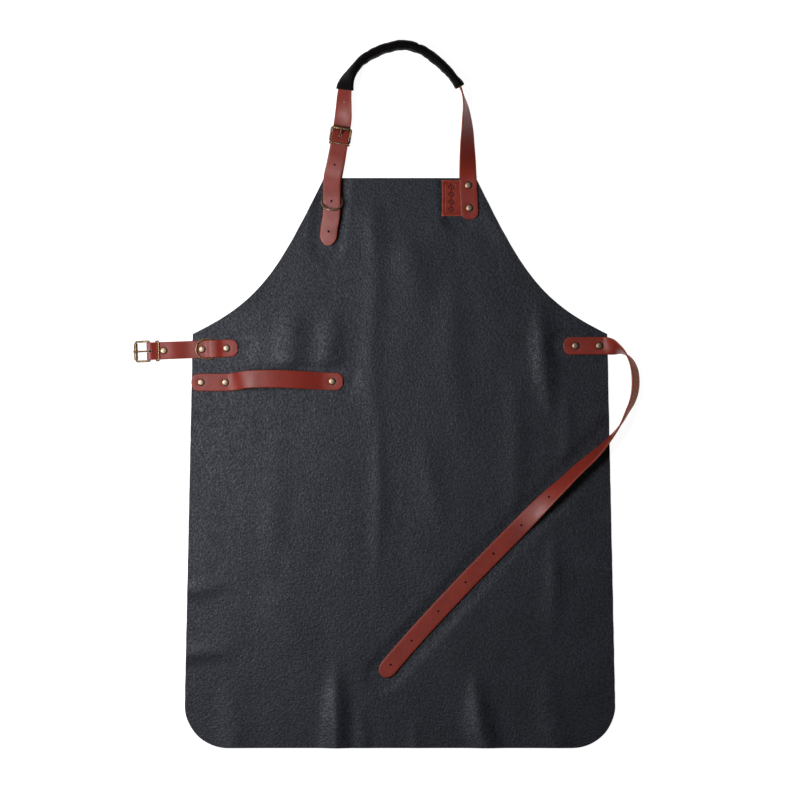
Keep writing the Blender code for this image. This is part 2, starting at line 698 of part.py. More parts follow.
WAIST_ROUTE = [
    resting(227.8, 163.2, 1.7, 0), resting(244.7, 163.4, 1.7, 0), resting(262.0, 163.5, 1.7, 0),
    resting(279.0, 163.6, 1.7, 0), resting(284.5, 163.6, 1.7, 0), resting(290.0, 163.2, 1.7, 10),
    resting(296.5, 161.8, 1.2, 32),
    resting(304.0, 158.6, 0.6, 60), resting(313.9, 152.1, 0.3, 88), resting(320.9, 143.7, 0.3, 103),
    resting(325.7, 132.5, 0.3, 112), resting(328.0, 114.4, 0.3, 116), resting(326.9, 99.0, 0.3, 114),
    resting(323.0, 85.1, 0.3, 109), resting(316.7, 72.5, 0.3, 102), resting(306.9, 53.7, 1.0, 93),
    resting(295.7, 38.4, 1.8, 84), resting(279.0, 19.5, 1.8, 71), resting(265.1, 6.3, 1.8, 61),
    resting(248.0, -8.8, 1.8, 55), resting(230.9, -25.8, 1.8, 49), resting(209.0, -46.5, 1.8, 34),
    resting(190.0, -65.6, 1.8, 18), resting(170.1, -86.1, 1.7, 5), resting(150.0, -106.6, 1.7, 0),
    resting(131.3, -125.6, 1.7, 0), resting(92.2, -165.6, 1.7, 0), resting(54.3, -205.8, 1.7, 0),
    resting(16.5, -247.3, 1.7, 0), resting(-12.6, -281.0, 1.7, 0), resting(-25.8, -297.1, 1.7, 0),
]
waist_line = Route(WAIST_ROUTE)
waist_strap = ribbon("waist_strap", route_sections(waist_line, TAB_END, STRAP_TIP), RUSSET_LEATHER)
WAIST_HOLE_PITCH = 0.0555
waist_drills = []
for k in range(8):
    distance = 0.0205 + max(0, k - 1) * WAIST_HOLE_PITCH + min(k, 1) * 0.0445
    middle, side, normal = waist_line.frame(waist_line.length - distance)
    waist_drills.append((middle, normal, HOLE_DIAMETER, 0.008))
cut(waist_strap, [drill("waist_strap_drills", waist_drills + rivet_holes(WAIST_RIVETS))])
for label, (x, y) in zip(("inner", "outer"), WAIST_RIVETS):
    rivet("waist_strap_rivet_" + label, x, y, 0.0, ON_PANEL + HALF_THICKNESS)


# ---- The towel loop: a short strap riveted at both ends, with a hump to put a cloth through -----------

TOWEL_ROUTE = [
    resting(-290.9, 112.3, 1.7, 0), resting(-277.5, 112.5, 1.7, 0), resting(-260.0, 112.5, 1.7, 0),
    resting(-243.6, 112.6, 1.7, 0), resting(-237.6, 112.8, 1.7, 0), resting(-229.0, 113.8, 4.9, 0),
    resting(-221.0, 115.3, 10.7, 0), resting(-210.0, 116.7, 15.0, 0), resting(-190.0, 117.4, 16.6, 0),
    resting(-165.0, 117.2, 15.2, 0), resting(-140.0, 116.1, 10.6, 0), resting(-119.0, 114.9, 4.9, 0),
    resting(-107.5, 114.2, 2.1, 0), resting(-101.0, 113.9, 1.7, 0), resting(-94.8, 113.8, 1.7, 0),
    resting(-79.3, 113.6, 1.7, 0),
]
towel_line = Route(TOWEL_ROUTE)
towel_loop = ribbon("towel_loop", route_sections(towel_line, TAB_END, TAB_END, 0.006), RUSSET_LEATHER)
cut(towel_loop, [drill("towel_drills", rivet_holes(TOWEL_RIVETS))])
for label, (x, y) in zip(("outer", "inner", "far"), TOWEL_RIVETS):
    rivet("towel_loop_rivet_" + label, x, y, 0.0, ON_PANEL + HALF_THICKNESS)


# ---- The label patch and the panel ----------------------------------------------------------------------

PATCH_LEFT, PATCH_RIGHT = 0.0585, 0.1045
PATCH_BOTTOM, PATCH_UPPER = 0.3445, 0.3945
PATCH_CORNER = 0.003
patch_outline = (
    arc((PATCH_LEFT + PATCH_CORNER, PATCH_BOTTOM + PATCH_CORNER), PATCH_CORNER, 180, 270, 4)
    + arc((PATCH_RIGHT - PATCH_CORNER, PATCH_BOTTOM + PATCH_CORNER), PATCH_CORNER, 270, 360, 4)
    + arc((PATCH_RIGHT - PATCH_CORNER, PATCH_UPPER - PATCH_CORNER), PATCH_CORNER, 0, 90, 4)
    + arc((PATCH_LEFT + PATCH_CORNER, PATCH_UPPER - PATCH_CORNER), PATCH_CORNER, 90, 180, 4)
)
patch = plate("label_patch", patch_outline, PATCH_TOP - PATCH_THICKNESS, PATCH_TOP, PATCH_LEATHER)
cut(patch, [drill("patch_drills", rivet_holes(NECK_RIGHT_RIVETS))])

panel = plate("apron_panel", panel_outline(), 0.0, PANEL_THICKNESS, BLACK_LEATHER)
every_rivet = [
    *TOWEL_RIVETS, *WAIST_RIVETS, *NECK_RIGHT_RIVETS, *WAIST_TAB_RIVETS, *NECK_TAB_RIVETS,
]
cut(panel, [
    drill("panel_drills", rivet_holes(every_rivet)),
    drill("panel_recesses", back_recesses(every_rivet, 0.0)),
])
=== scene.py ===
"""The looks of a leather smock apron that lies flat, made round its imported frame.

Metres, in the frame's own axes: +Y runs to the neck, +X to the right and +Z out of the front.
The hide is made first, then what is fixed to it, from the patch to the straps and their brass.
"""

import math

import bpy
from mathutils import Matrix, Vector, noise


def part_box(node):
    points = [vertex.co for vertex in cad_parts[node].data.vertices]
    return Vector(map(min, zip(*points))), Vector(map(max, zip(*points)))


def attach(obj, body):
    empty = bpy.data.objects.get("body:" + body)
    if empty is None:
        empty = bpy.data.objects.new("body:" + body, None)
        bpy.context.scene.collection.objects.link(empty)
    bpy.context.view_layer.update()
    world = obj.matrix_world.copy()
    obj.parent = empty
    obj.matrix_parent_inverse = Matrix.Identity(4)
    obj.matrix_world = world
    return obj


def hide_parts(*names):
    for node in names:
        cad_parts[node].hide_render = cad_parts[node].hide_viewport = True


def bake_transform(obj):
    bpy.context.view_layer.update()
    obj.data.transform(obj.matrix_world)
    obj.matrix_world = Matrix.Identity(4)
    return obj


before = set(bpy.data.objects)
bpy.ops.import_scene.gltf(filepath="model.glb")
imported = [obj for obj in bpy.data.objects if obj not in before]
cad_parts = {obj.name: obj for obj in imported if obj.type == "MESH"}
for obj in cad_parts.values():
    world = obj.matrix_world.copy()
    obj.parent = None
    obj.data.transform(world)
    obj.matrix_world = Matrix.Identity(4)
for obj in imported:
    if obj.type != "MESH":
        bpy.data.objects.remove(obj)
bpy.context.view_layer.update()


# ---- Camera ------------------------------------------------------------------------------------------
# Straight above the apron, far enough away and with a lens long enough to show it flat.

CAMERA_HEIGHT, CAMERA_Y, CAMERA_LENS = 6.20, 0.0879, 200.0


def fresh(add, **settings):
    """Adds one thing by Blender's own operator, with nothing else selected, and gives it back."""
    bpy.ops.object.select_all(action="DESELECT")
    add(**settings)
    return bpy.context.object


camera = fresh(bpy.ops.object.camera_add, location=(0.0, CAMERA_Y, CAMERA_HEIGHT), rotation=(0.0, 0.0, 0.0))
camera.data.lens = CAMERA_LENS
bpy.context.scene.camera = camera
bpy.context.scene.view_settings.view_transform = "Standard"


# ---- Floor and light ---------------------------------------------------------------------------------
# A plain white table top, lit from below so that it stays even. One broad soft light hangs close over
# the upper left, a weak one stands far off at the neck, and the room is dim.

TABLE_SIZE, TABLE_LEVEL, TABLE_GLOW = 12.0, -0.0006, 0.93
ROOM_COLOUR, ROOM_STRENGTH = (0.93, 0.96, 1.0, 1.0), 0.09
LIGHTS_AIM = Vector((0.0, 0.05, 0.0))


class Finish:
    """A material whose patterns are read at one place: the piece's own coordinates or its UV map."""

    def __init__(self, name, uv_map=None):
        self.material = bpy.data.materials.new(name)
        self.material.use_nodes = True
        tree = self.material.node_tree
        self.nodes, self.links, self.shader = tree.nodes, tree.links, tree.nodes["Principled BSDF"]
        if uv_map:
            flat = self.nodes.new("ShaderNodeUVMap")
            flat.uv_map = uv_map
            self.place = flat.outputs["UV"]
        else:
            self.place = self.nodes.new("ShaderNodeTexCoord").outputs["Object"]

    def give(self, socket, source):
        """Feeds a socket from a number, a colour or another socket."""
        if isinstance(source, tuple):
            socket.default_value = (*source, 1.0)
        elif isinstance(source, (int, float)):
            socket.default_value = source
        else:
            self.links.new(source, socket)

    def set(self, name, source):
        """Feeds one of the shader's inputs."""
        self.give(self.shader.inputs[name], source)

    def cloud(self, scale, detail=3.0):
        """Soft noise, with a scale in turns to the metre."""
        node = self.nodes.new("ShaderNodeTexNoise")
        node.inputs["Scale"].default_value = scale
        node.inputs["Detail"].default_value = detail
        self.links.new(self.place, node.inputs["Vector"])
        return node.outputs["Fac"]

    def attribute(self, name):
        """The value that the mesh keeps under a name."""
        node = self.nodes.new("ShaderNodeAttribute")
        node.attribute_name = name
        return node.outputs["Fac"]

    def ramp(self, value, *stops):
        """A value turned into a colour, by stops of (position, colour)."""
        node = self.nodes.new("ShaderNodeValToRGB")
        self.links.new(value, node.inputs["Fac"])
        band = node.color_ramp.elements
        for element, (position, colour) in zip(band, (stops[0], stops[-1])):
            element.position = position
            element.color = (*colour, 1.0)
        for position, colour in stops[1:-1]:
            band.new(position).color = (*colour, 1.0)
        return node.outputs["Color"]

    def spread(self, value, low, high, start=0.3, stop=0.7):
        """A value between start and stop turned into one between low and high."""
        node = self.nodes.new("ShaderNodeMapRange")
        for name, number in (("From Min", start), ("From Max", stop), ("To Min", low), ("To Max", high)):
            node.inputs[name].default_value = number
        self.links.new(value, node.inputs["Value"])
        return node.outputs["Result"]

    def combine(self, kind, first, second):
        """Two values put together by one sum, such as ADD or ABSOLUTE."""
        node = self.nodes.new("ShaderNodeMath")
        node.operation = kind
        self.give(node.inputs[0], first)
        self.give(node.inputs[1], second)
        return node.outputs["Value"]

    def blend(self, share, first, second, kind="MIX"):
        """Two colours mixed by a share of the second."""
        node = self.nodes.new("ShaderNodeMix")
        node.data_type = "RGBA"
        node.blend_type = kind
        for index, source in ((0, share), (6, first), (7, second)):
            self.give(node.inputs[index], source)
        return node.outputs[2]

    def relief(self, *layers):
        """Bumps on the shader's normal, from layers of (height, strength, depth in metres)."""
        normal = None
        for height, strength, depth in layers:
            node = self.nodes.new("ShaderNodeBump")
            node.inputs["Strength"].default_value = strength
            node.inputs["Distance"].default_value = depth
            self.links.new(height, node.inputs["Height"])
            if normal is not None:
                self.links.new(normal, node.inputs["Normal"])
            normal = node.outputs["Normal"]
        self.links.new(normal, self.shader.inputs["Normal"])


def wear(piece, *materials):
    """Gives a piece these materials and no others."""
    piece.data.materials.clear()
    for material in materials:
        piece.data.materials.append(material)


finish = Finish("table_white")
paper = finish.ramp(finish.cloud(3.0), (0.0, (0.38, 0.38, 0.38)), (1.0, (0.42, 0.42, 0.42)))
finish.set("Base Color", paper)
finish.set("Roughness", 0.8)
finish.set("Emission Color", (1.0, 1.0, 1.0))
finish.set("Emission Strength", TABLE_GLOW)

table = fresh(bpy.ops.mesh.primitive_plane_add, size=TABLE_SIZE, location=(0.0, 0.0, TABLE_LEVEL))
table.name = "table_top"
wear(table, finish.material)

world = bpy.data.worlds.new("room")
world.use_nodes = True
background = world.node_tree.nodes["Background"]
background.inputs["Color"].default_value = ROOM_COLOUR
background.inputs["Strength"].default_value = ROOM_STRENGTH
bpy.context.scene.world = world

for name, location, size, watts in (
    ("key_light", (-0.78, 0.16, 1.15), 0.8, 20.0),
    ("far_light", (-0.60, 1.70, 1.50), 1.0, 3.5),
):
    turned = (LIGHTS_AIM - Vector(location)).to_track_quat("-Z", "Y").to_euler()
    lamp = fresh(bpy.ops.object.light_add, type="AREA", location=location, rotation=turned)
    lamp.name = name
    lamp.data.shape = "DISK"
    lamp.data.size = size
    lamp.data.energy = watts


# ---- The panel ---------------------------------------------------------------------------------------
# One charcoal hide, 600 mm wide and 795 mm long, cut with a straight bib, hollow armholes and round
# hem corners. It lies loose, so it keeps soft folds, but it is flat under everything fixed to it.

UP = Vector((0.0, 0.0, 1.0))
BIB_HALF, BIB_TOP = 0.106, 0.3975
WAIST_HALF, WAIST_Y = 0.289, 0.180
HEM_HALF, HEM_Y, HEM_CORNER = 0.300, -0.3975, 0.060
HIDE_THICKNESS = 0.0014
# how the armhole's curve leaves the bib's corner and arrives at the waist's
ARMHOLE_LEAVES, ARMHOLE_ARRIVES = Vector((0.438, -0.899)) * 0.150, Vector((0.899, -0.438)) * 0.102


def half_width(y):
    """Half the panel's width at a height: round hem corners, straight sides, then the armhole."""
    corner_top = HEM_Y + HEM_CORNER
    if y < corner_top:
        return HEM_HALF - HEM_CORNER + math.sqrt(max(HEM_CORNER**2 - (corner_top - y) ** 2, 0.0))
    if y <= WAIST_Y:
        return HEM_HALF + (WAIST_HALF - HEM_HALF) * (y - corner_top) / (WAIST_Y - corner_top)
    start, stop = Vector((BIB_HALF, BIB_TOP)), Vector((WAIST_HALF, WAIST_Y))
    leaving, arriving = start + ARMHOLE_LEAVES, stop - ARMHOLE_ARRIVES
    low, high = 0.0, 1.0
    for _ in range(24):
        u = (low + high) / 2
        point = (
            start * (1 - u) ** 3 + leaving * 3 * u * (1 - u) ** 2
            + arriving * 3 * u * u * (1 - u) + stop * u**3
        )
        low, high = (u, high) if point.y > y else (low, u)
    return point.x


def away_from(x, y, line):
    """How far a point is from a straight line of (x, y, x, y)."""
    ax, ay, bx, by = line
    run = (bx - ax) ** 2 + (by - ay) ** 2
    u = min(max(((x - ax) * (bx - ax) + (y - ay) * (by - ay)) / run, 0.0), 1.0)
    return math.hypot(x - ax - (bx - ax) * u, y - ay - (by - ay) * u)


def ease(value, start, stop):
    """A smooth step from 0 at start to 1 at stop."""
    u = min(max((value - start) / (stop - start), 0.0), 1.0)
    return u * u * (3 - 2 * u)


# lines of (x, y, x, y) under what is fixed to the panel or lies on it, where it stays flat
HELD_FLAT = (
    (-0.300, 0.1125, -0.079, 0.1138), (0.231, 0.1634, 0.300, 0.1634), (-0.300, 0.158, -0.226, 0.160),
    (-0.094, 0.400, -0.101, 0.303), (0.078, 0.400, 0.082, 0.345), (0.300, 0.045, 0.170, -0.087),
    (0.170, -0.087, -0.026, -0.297),
)
# each fold: its line, which may run off the edge, its half width and its height
FOLDS = (
    ((-0.0860, -0.270, -0.0950, -0.520), 0.013, 0.0120), ((0.1020, -0.275, 0.1440, -0.520), 0.013, 0.0110),
    ((-0.400, -0.188, -0.225, -0.166), 0.010, 0.0036), ((-0.400, -0.281, -0.215, -0.258), 0.010, 0.0038),
    ((-0.034, 0.400, -0.036, -0.020), 0.012, 0.0020), ((-0.026, 0.100, -0.040, -0.200), 0.008, 0.0018),
    ((-0.150, 0.230, -0.152, 0.100), 0.018, 0.0042), ((-0.096, 0.225, -0.090, 0.105), 0.015, 0.0040),
    ((0.196, 0.235, 0.213, 0.050), 0.013, 0.0055), ((0.240, 0.120, 0.234, -0.080), 0.009, 0.0012),
    ((0.206, -0.080, 0.214, -0.270), 0.009, 0.0020), ((0.010, 0.330, 0.032, 0.215), 0.018, 0.0030),
    ((-0.166, 0.060, -0.180, -0.180), 0.016, 0.0018), ((0.160, 0.130, 0.152, -0.090), 0.013, 0.0020),
    ((-0.055, -0.320, -0.046, -0.480), 0.009, 0.0026), ((0.022, -0.345, 0.036, -0.480), 0.008, 0.0020),
    ((0.400, -0.165, 0.235, -0.136), 0.009, 0.0034), ((-0.400, 0.085, -0.250, 0.064), 0.008, 0.0030),
    ((-0.260, 0.205, -0.180, 0.275), 0.014, 0.0030), ((0.170, 0.290, 0.112, 0.365), 0.012, 0.0022),
    ((0.072, 0.310, 0.080, 0.000), 0.015, 0.0016), ((-0.044, 0.370, -0.030, 0.290), 0.016, 0.0022),
    ((-0.240, -0.290, -0.222, -0.480), 0.014, 0.0028), ((0.205, -0.260, 0.230, -0.480), 0.015, 0.0028),
    ((0.400, -0.060, 0.255, -0.085), 0.010, 0.0026), ((0.400, 0.085, 0.262, 0.062), 0.009, 0.0022),
    ((-0.190, -0.160, -0.120, -0.280), 0.016, 0.0016), ((0.030, 0.060, 0.055, -0.130), 0.014, 0.0014),
)


def fold_height(x, y):
    """How high the hide stands off the table at a place."""
    free = min(ease(away_from(x, y, line), 0.0138, 0.030) for line in HELD_FLAT)
    drift = Vector((x * 8.0, y * 8.0, 0.5))
    sx, sy = x + 0.010 * noise.noise(drift), y + 0.010 * noise.noise(drift + UP * 4.0)
    lift = 0.0
    for line, half, height in FOLDS:
        ax, ay, bx, by = line
        u = ((sx - ax) * (bx - ax) + (sy - ay) * (by - ay)) / ((bx - ax) ** 2 + (by - ay) ** 2)
        rise = ease(u, 0.0, 0.42) * (1 - ease(u, 0.58, 1.0))
        if rise > 0.0:
            off = away_from(sx, sy, line) / (half * (0.7 + 0.5 * rise))
            lift += height * rise * math.exp(-off * off)
    broad = 0.5 + 0.5 * noise.noise(Vector((x * 9.0, y * 6.0, 3.1)))
    small = 0.5 + 0.5 * noise.noise(Vector((x * 26.0, y * 19.0, 7.7)))
    return free * (0.62 * lift + 0.0013 * broad + 0.0009 * small)


CORNER_ROWS, SIDE_ROWS, ARM_ROWS, COLUMNS = 20, 150, 62, 170
EDGE_WANDER = 0.0006
SINK_DEPTH, SINK_INNER, SINK_OUTER = 0.00035, 0.0062, 0.0095
row_heights = [HEM_Y + HEM_CORNER * (1 - math.cos(math.pi / 2 * k / CORNER_ROWS)) for k in range(CORNER_ROWS)]
row_heights += [HEM_Y + HEM_CORNER + (WAIST_Y - HEM_Y - HEM_CORNER) * k / SIDE_ROWS for k in range(SIDE_ROWS)]
row_heights += [WAIST_Y + (BIB_TOP - WAIST_Y) * k / ARM_ROWS for k in range(ARM_ROWS + 1)]
row_widths = [half_width(y) for y in row_heights]

panel = fresh(
    bpy.ops.mesh.primitive_grid_add, x_subdivisions=COLUMNS, y_subdivisions=len(row_heights) - 1, size=2.0
)
panel.name = panel.data.name = "hide_panel"
for vertex in panel.data.vertices:
    row = round((vertex.co.y + 1.0) / 2.0 * (len(row_heights) - 1))
    x, y = vertex.co.x * row_widths[row], row_heights[row]
    cut_wander = EDGE_WANDER * noise.noise(Vector((x * 40.0, y * 40.0, 1.3))) * abs(vertex.co.x) ** 8
    x += math.copysign(cut_wander, x)
    vertex.co = (x, y, HIDE_THICKNESS + fold_height(x, y))


def pick(*pieces):
    """Selects these pieces alone and makes the first one active."""
    bpy.ops.object.select_all(action="DESELECT")
    for piece in pieces:
        piece.select_set(True)
    bpy.context.view_layer.objects.active = pieces[0]


def apply_modifier(piece, kind, **settings):
    """Puts one modifier on a piece and applies it."""
    modifier = piece.modifiers.new(kind.lower(), kind)
    for setting, value in settings.items():
        setattr(modifier, setting, value)
    pick(piece)
    bpy.ops.object.modifier_apply(modifier=modifier.name)


def smooth(piece, angle):
    """Shades a piece smooth up to an angle in degrees."""
    pick(piece)
    bpy.ops.object.shade_smooth_by_angle(angle=math.radians(angle))


apply_modifier(panel, "SOLIDIFY", thickness=HIDE_THICKNESS, offset=-1.0)

RIVET_SPOTS = {
    "towel_loop_rivet_outer": (-0.2775, 0.1125), "towel_loop_rivet_inner": (-0.2436, 0.1125),
    "towel_loop_rivet_far": (-0.0948, 0.1138),
    "waist_strap_rivet_inner": (0.2446, 0.1634), "waist_strap_rivet_outer": (0.2778, 0.1636),
    "neck_strap_rivet_upper": (0.0951, 0.3873), "neck_strap_rivet_lower": (0.0966, 0.3557),
    "neck_tab_rivet_near": (-0.0943, 0.3872), "neck_tab_rivet_far": (-0.0943, 0.3530),
}
for name in ("waist_tab_rivet_near", "waist_tab_rivet_far"):
    low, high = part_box(name + "_cap")
    RIVET_SPOTS[name] = ((low[0] + high[0]) / 2, (low[1] + high[1]) / 2)
for vertex in panel.data.vertices:
    if vertex.co.z < HIDE_THICKNESS / 2:
        nearest = min(math.hypot(vertex.co.x - x, vertex.co.y - y) for x, y in RIVET_SPOTS.values())
        vertex.co.z += SINK_DEPTH * (1 - ease(nearest, SINK_INNER, SINK_OUTER))

finish = Finish("charcoal_hide")
charcoal_hide = finish.material
patches, speckle, mottle = finish.cloud(14.0), finish.cloud(340.0), finish.cloud(62.0)
pebble = finish.nodes.new("ShaderNodeTexVoronoi")
pebble.feature = "SMOOTH_F1"
pebble.inputs["Scale"].default_value = 330.0
pebble.inputs["Smoothness"].default_value = 0.5
wander = finish.nodes.new("ShaderNodeTexNoise")
wander.inputs["Scale"].default_value = 160.0
warped = finish.nodes.new("ShaderNodeMix")
warped.data_type = "VECTOR"
warped.inputs[0].default_value = 0.006
for source, socket in (
    (finish.place, wander.inputs["Vector"]), (finish.place, warped.inputs[4]),
    (wander.outputs["Color"], warped.inputs[5]), (warped.outputs[1], pebble.inputs["Vector"]),
):
    finish.links.new(source, socket)
finish.set("Base Color", finish.blend(
    0.65,
    finish.ramp(patches, (0.30, (0.0060, 0.0062, 0.0088)), (0.72, (0.0130, 0.0135, 0.0190))),
    finish.ramp(speckle, (0.38, (0.0005, 0.0005, 0.0009)), (0.62, (0.0250, 0.0260, 0.0360))),
))
worn = finish.combine("ADD", finish.spread(mottle, -0.05, 0.05), finish.spread(speckle, 0.62, 0.40))
finish.set("Roughness", worn)
finish.set("Specular IOR Level", 0.34)
finish.set("Specular Tint", (0.88, 0.92, 1.0))
finish.relief(
    (finish.cloud(900.0), 0.40, 0.0004), (pebble.outputs["Distance"], 0.50, 0.0005),
    (speckle, 0.45, 0.0009), (mottle, 0.22, 0.0016),
)

finish = Finish("hide_flesh_side")
nap = finish.cloud(600.0, 5.0)
finish.set("Base Color", finish.ramp(nap, (0.3, (0.020, 0.019, 0.020)), (0.7, (0.055, 0.052, 0.052))))
finish.set("Roughness", 0.95)
finish.set("Sheen Weight", 0.15)
finish.relief((nap, 0.6, 0.0006))

wear(panel, charcoal_hide, finish.material)
for face in panel.data.polygons:
    face.material_index = 1 if face.normal.z < -0.5 else 0
smooth(panel, 50.0)
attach(panel, "apron")
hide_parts("apron_panel")


# ---- Label patch -------------------------------------------------------------------------------------
# An oxblood leather patch under the right end of the neck strap, wet pressed with a plain frame and a
# column of lozenges. Its rim is turned over by the cutting die, and is painted a lighter orange: partly its
# cut edge's own colour, partly a painted highlight.

PATCH_LOW, PATCH_HIGH = Vector((0.0585, 0.3445)), Vector((0.1045, 0.3945))
PATCH_TOP, PATCH_THICKNESS = 0.0029, 0.0012
PATCH_ROUND, PRESS_DEPTH, RIM_DROP = 0.0030, 0.00055, 0.0005
FRAME_INSET, FRAME_ROUND = Vector((0.0042, 0.0042)), 0.0015
LOZENGES, LOZENGE_X, LOZENGE_LOW, LOZENGE_STEP, LOZENGE_HALF = 4, 0.0722, 0.3541, 0.0103, 0.0040


def box_distance(x, y, low, high, corner):
    """How far a point lies inside (below 0) or outside a rounded box."""
    across = abs(x - (low.x + high.x) / 2) - (high.x - low.x) / 2 + corner
    along = abs(y - (low.y + high.y) / 2) - (high.y - low.y) / 2 + corner
    return math.hypot(max(across, 0.0), max(along, 0.0)) + min(max(across, along), 0.0) - corner


def pressed(x, y):
    """How deep the die has pressed the patch at a place, as a share of its full depth."""
    line = abs(box_distance(x, y, PATCH_LOW + FRAME_INSET, PATCH_HIGH - FRAME_INSET, FRAME_ROUND))
    depth = 0.5 - 0.5 * ease(line, 0.0003, 0.0008)
    for k in range(LOZENGES):
        off = abs(x - LOZENGE_X) + abs(y - LOZENGE_LOW - k * LOZENGE_STEP)
        outline, middle = 1 - ease(abs(off - LOZENGE_HALF), 0.0008, 0.0014), 1 - ease(off, 0.0013, 0.0019)
        depth = max(depth, outline, middle)
    return depth


patch = fresh(bpy.ops.mesh.primitive_grid_add, x_subdivisions=96, y_subdivisions=104, size=2.0)
patch.name = patch.data.name = "pressed_patch"
middle, half = (PATCH_LOW + PATCH_HIGH) / 2, (PATCH_HIGH - PATCH_LOW) / 2
for vertex in patch.data.vertices:
    x, y = middle.x + vertex.co.x * half.x, middle.y + vertex.co.y * half.y
    corner = Vector((abs(x - middle.x) - half.x + PATCH_ROUND, abs(y - middle.y) - half.y + PATCH_ROUND))
    if min(corner) > 0.0:
        pulled = corner * (max(corner) / max(corner.length, 1e-9))
        x += math.copysign(pulled.x - corner.x, x - middle.x)
        y += math.copysign(pulled.y - corner.y, y - middle.y)
    inside = -box_distance(x, y, PATCH_LOW, PATCH_HIGH, PATCH_ROUND)
    rim = RIM_DROP * (1 - math.sqrt(1 - (1 - min(max(inside, 0.0) / 0.0008, 1.0)) ** 2))
    swell = 0.0001 * noise.noise(Vector((x * 90.0, y * 90.0, 0.0)))
    vertex.co = (x, y, PATCH_TOP - rim - PRESS_DEPTH * pressed(x, y) * ease(inside, 0.001, 0.002) + swell)
tooling = patch.data.attributes.new("pressing_and_rim_highlight", "FLOAT", "POINT")
for vertex, pressing_and_rim_highlight in zip(patch.data.vertices, tooling.data):
    x, y, _ = vertex.co
    inside = -box_distance(x, y, PATCH_LOW, PATCH_HIGH, PATCH_ROUND)
    # 0 on the flat, up to 1 where the die pressed it and down to -1 at the rim, whose lighter orange is
    # partly the cut edge's own colour and partly a painted highlight
    pressing_and_rim_highlight.value = pressed(x, y) * ease(inside, 0.001, 0.002) - 1 + ease(inside, 0.0002, 0.0011)
patch_bottom = PATCH_TOP - PATCH_THICKNESS - 0.0002
bpy.ops.object.mode_set(mode="EDIT")
bpy.ops.mesh.select_all(action="SELECT")
bpy.ops.mesh.extrude_region_move()
bpy.ops.transform.resize(value=(1.0, 1.0, 0.0), center_override=(0.0, 0.0, patch_bottom))
bpy.ops.mesh.select_all(action="SELECT")
bpy.ops.mesh.normals_make_consistent(inside=False)
bpy.ops.object.mode_set(mode="OBJECT")

finish = Finish("oxblood_patch")
pressing_and_rim_highlight = finish.attribute("pressing_and_rim_highlight")
leather = finish.ramp(finish.cloud(120.0), (0.3, (0.165, 0.0135, 0.0062)), (0.7, (0.240, 0.0225, 0.0110)))
leather = finish.blend(finish.spread(pressing_and_rim_highlight, 0.0, 0.8, 0.05, 0.9), leather, (0.026, 0.0026, 0.0015))
# the rim band painted a lighter orange: the cut edge's own colour with a painted highlight on it
leather = finish.blend(finish.spread(pressing_and_rim_highlight, 1.0, 0.0, -0.9, -0.1), leather, (0.300, 0.0520, 0.0170))
finish.set("Base Color", leather)
finish.set("Roughness", finish.spread(finish.cloud(500.0), 0.40, 0.54))
finish.set("Specular IOR Level", 0.22)
finish.relief((finish.cloud(1300.0, 4.0), 0.3, 0.0002))
wear(patch, finish.material)
smooth(patch, 50.0)
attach(patch, "apron")
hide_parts("label_patch")


# ---- Strap leather -----------------------------------------------------------------------------------
# Every strap is cut 24.4 mm wide from 2.6 mm russet bridle leather, with its rims rounded and
# burnished, and its cut edges painted a lighter orange, partly their own colour and partly a painted
# highlight. It is made flat and punched flat, and then laid along its route.

STRAP_HALF, STRAP_HALF_THICK = 0.0122, 0.0013
RIM_RADIUS = 0.0010
ROUND_END, LONG_TIP, CUT_END = (0.0100, 2.2), (0.016, 2.0), (0.0020, 2.6)
STATION_STEP, MESH_STEP, END_TURNS = 0.001, 0.0025, 12
HOLE_DIAMETER, HOLE_FLARE, PUNCH_DEPTH = 0.0027, 1.3, 0.006
DIMPLE_DEPTH, DIMPLE_INNER, DIMPLE_OUTER = 0.00030, 0.0048, 0.0085


def russet(name, low, high, rim_colour, roughness, nap):
    """One face of the strap leather, read from the strap's flat coordinates in metres."""
    finish = Finish(name, uv_map="flat")
    tone = finish.ramp(finish.cloud(26.0), (0.32, low), (0.70, high))
    fine = finish.ramp(finish.cloud(700.0, 4.0), (0.30, (0.80, 0.78, 0.78)), (0.72, (1.12, 1.12, 1.12)))
    tone = finish.blend(1.0, tone, fine, "MULTIPLY")
    parts = finish.nodes.new("ShaderNodeSeparateXYZ")
    finish.links.new(finish.place, parts.inputs["Vector"])
    across = finish.combine("ABSOLUTE", parts.outputs["Y"], 0.0)
    wavering = finish.combine("ADD", across, finish.spread(finish.cloud(90.0), -0.0004, 0.0004))
    # along the edges the colour turns to the rim colour: a darker burnish on grain and flesh, and on the cut
    # edges a lighter orange that is partly a painted highlight
    rim = finish.spread(wavering, 0.0, 1.0, STRAP_HALF - 0.0021, STRAP_HALF - 0.0009)
    finish.set("Base Color", finish.blend(rim, tone, rim_colour))
    finish.set("Roughness", finish.spread(finish.cloud(60.0, 4.0), roughness - 0.05, roughness + 0.06))
    finish.set("Specular IOR Level", 0.36)
    finish.relief(
        (finish.cloud(1500.0, 4.0), 0.30 + nap, 0.0002 + 0.0004 * nap),
        (finish.cloud(260.0), 0.25, 0.0003),
    )
    return finish.material


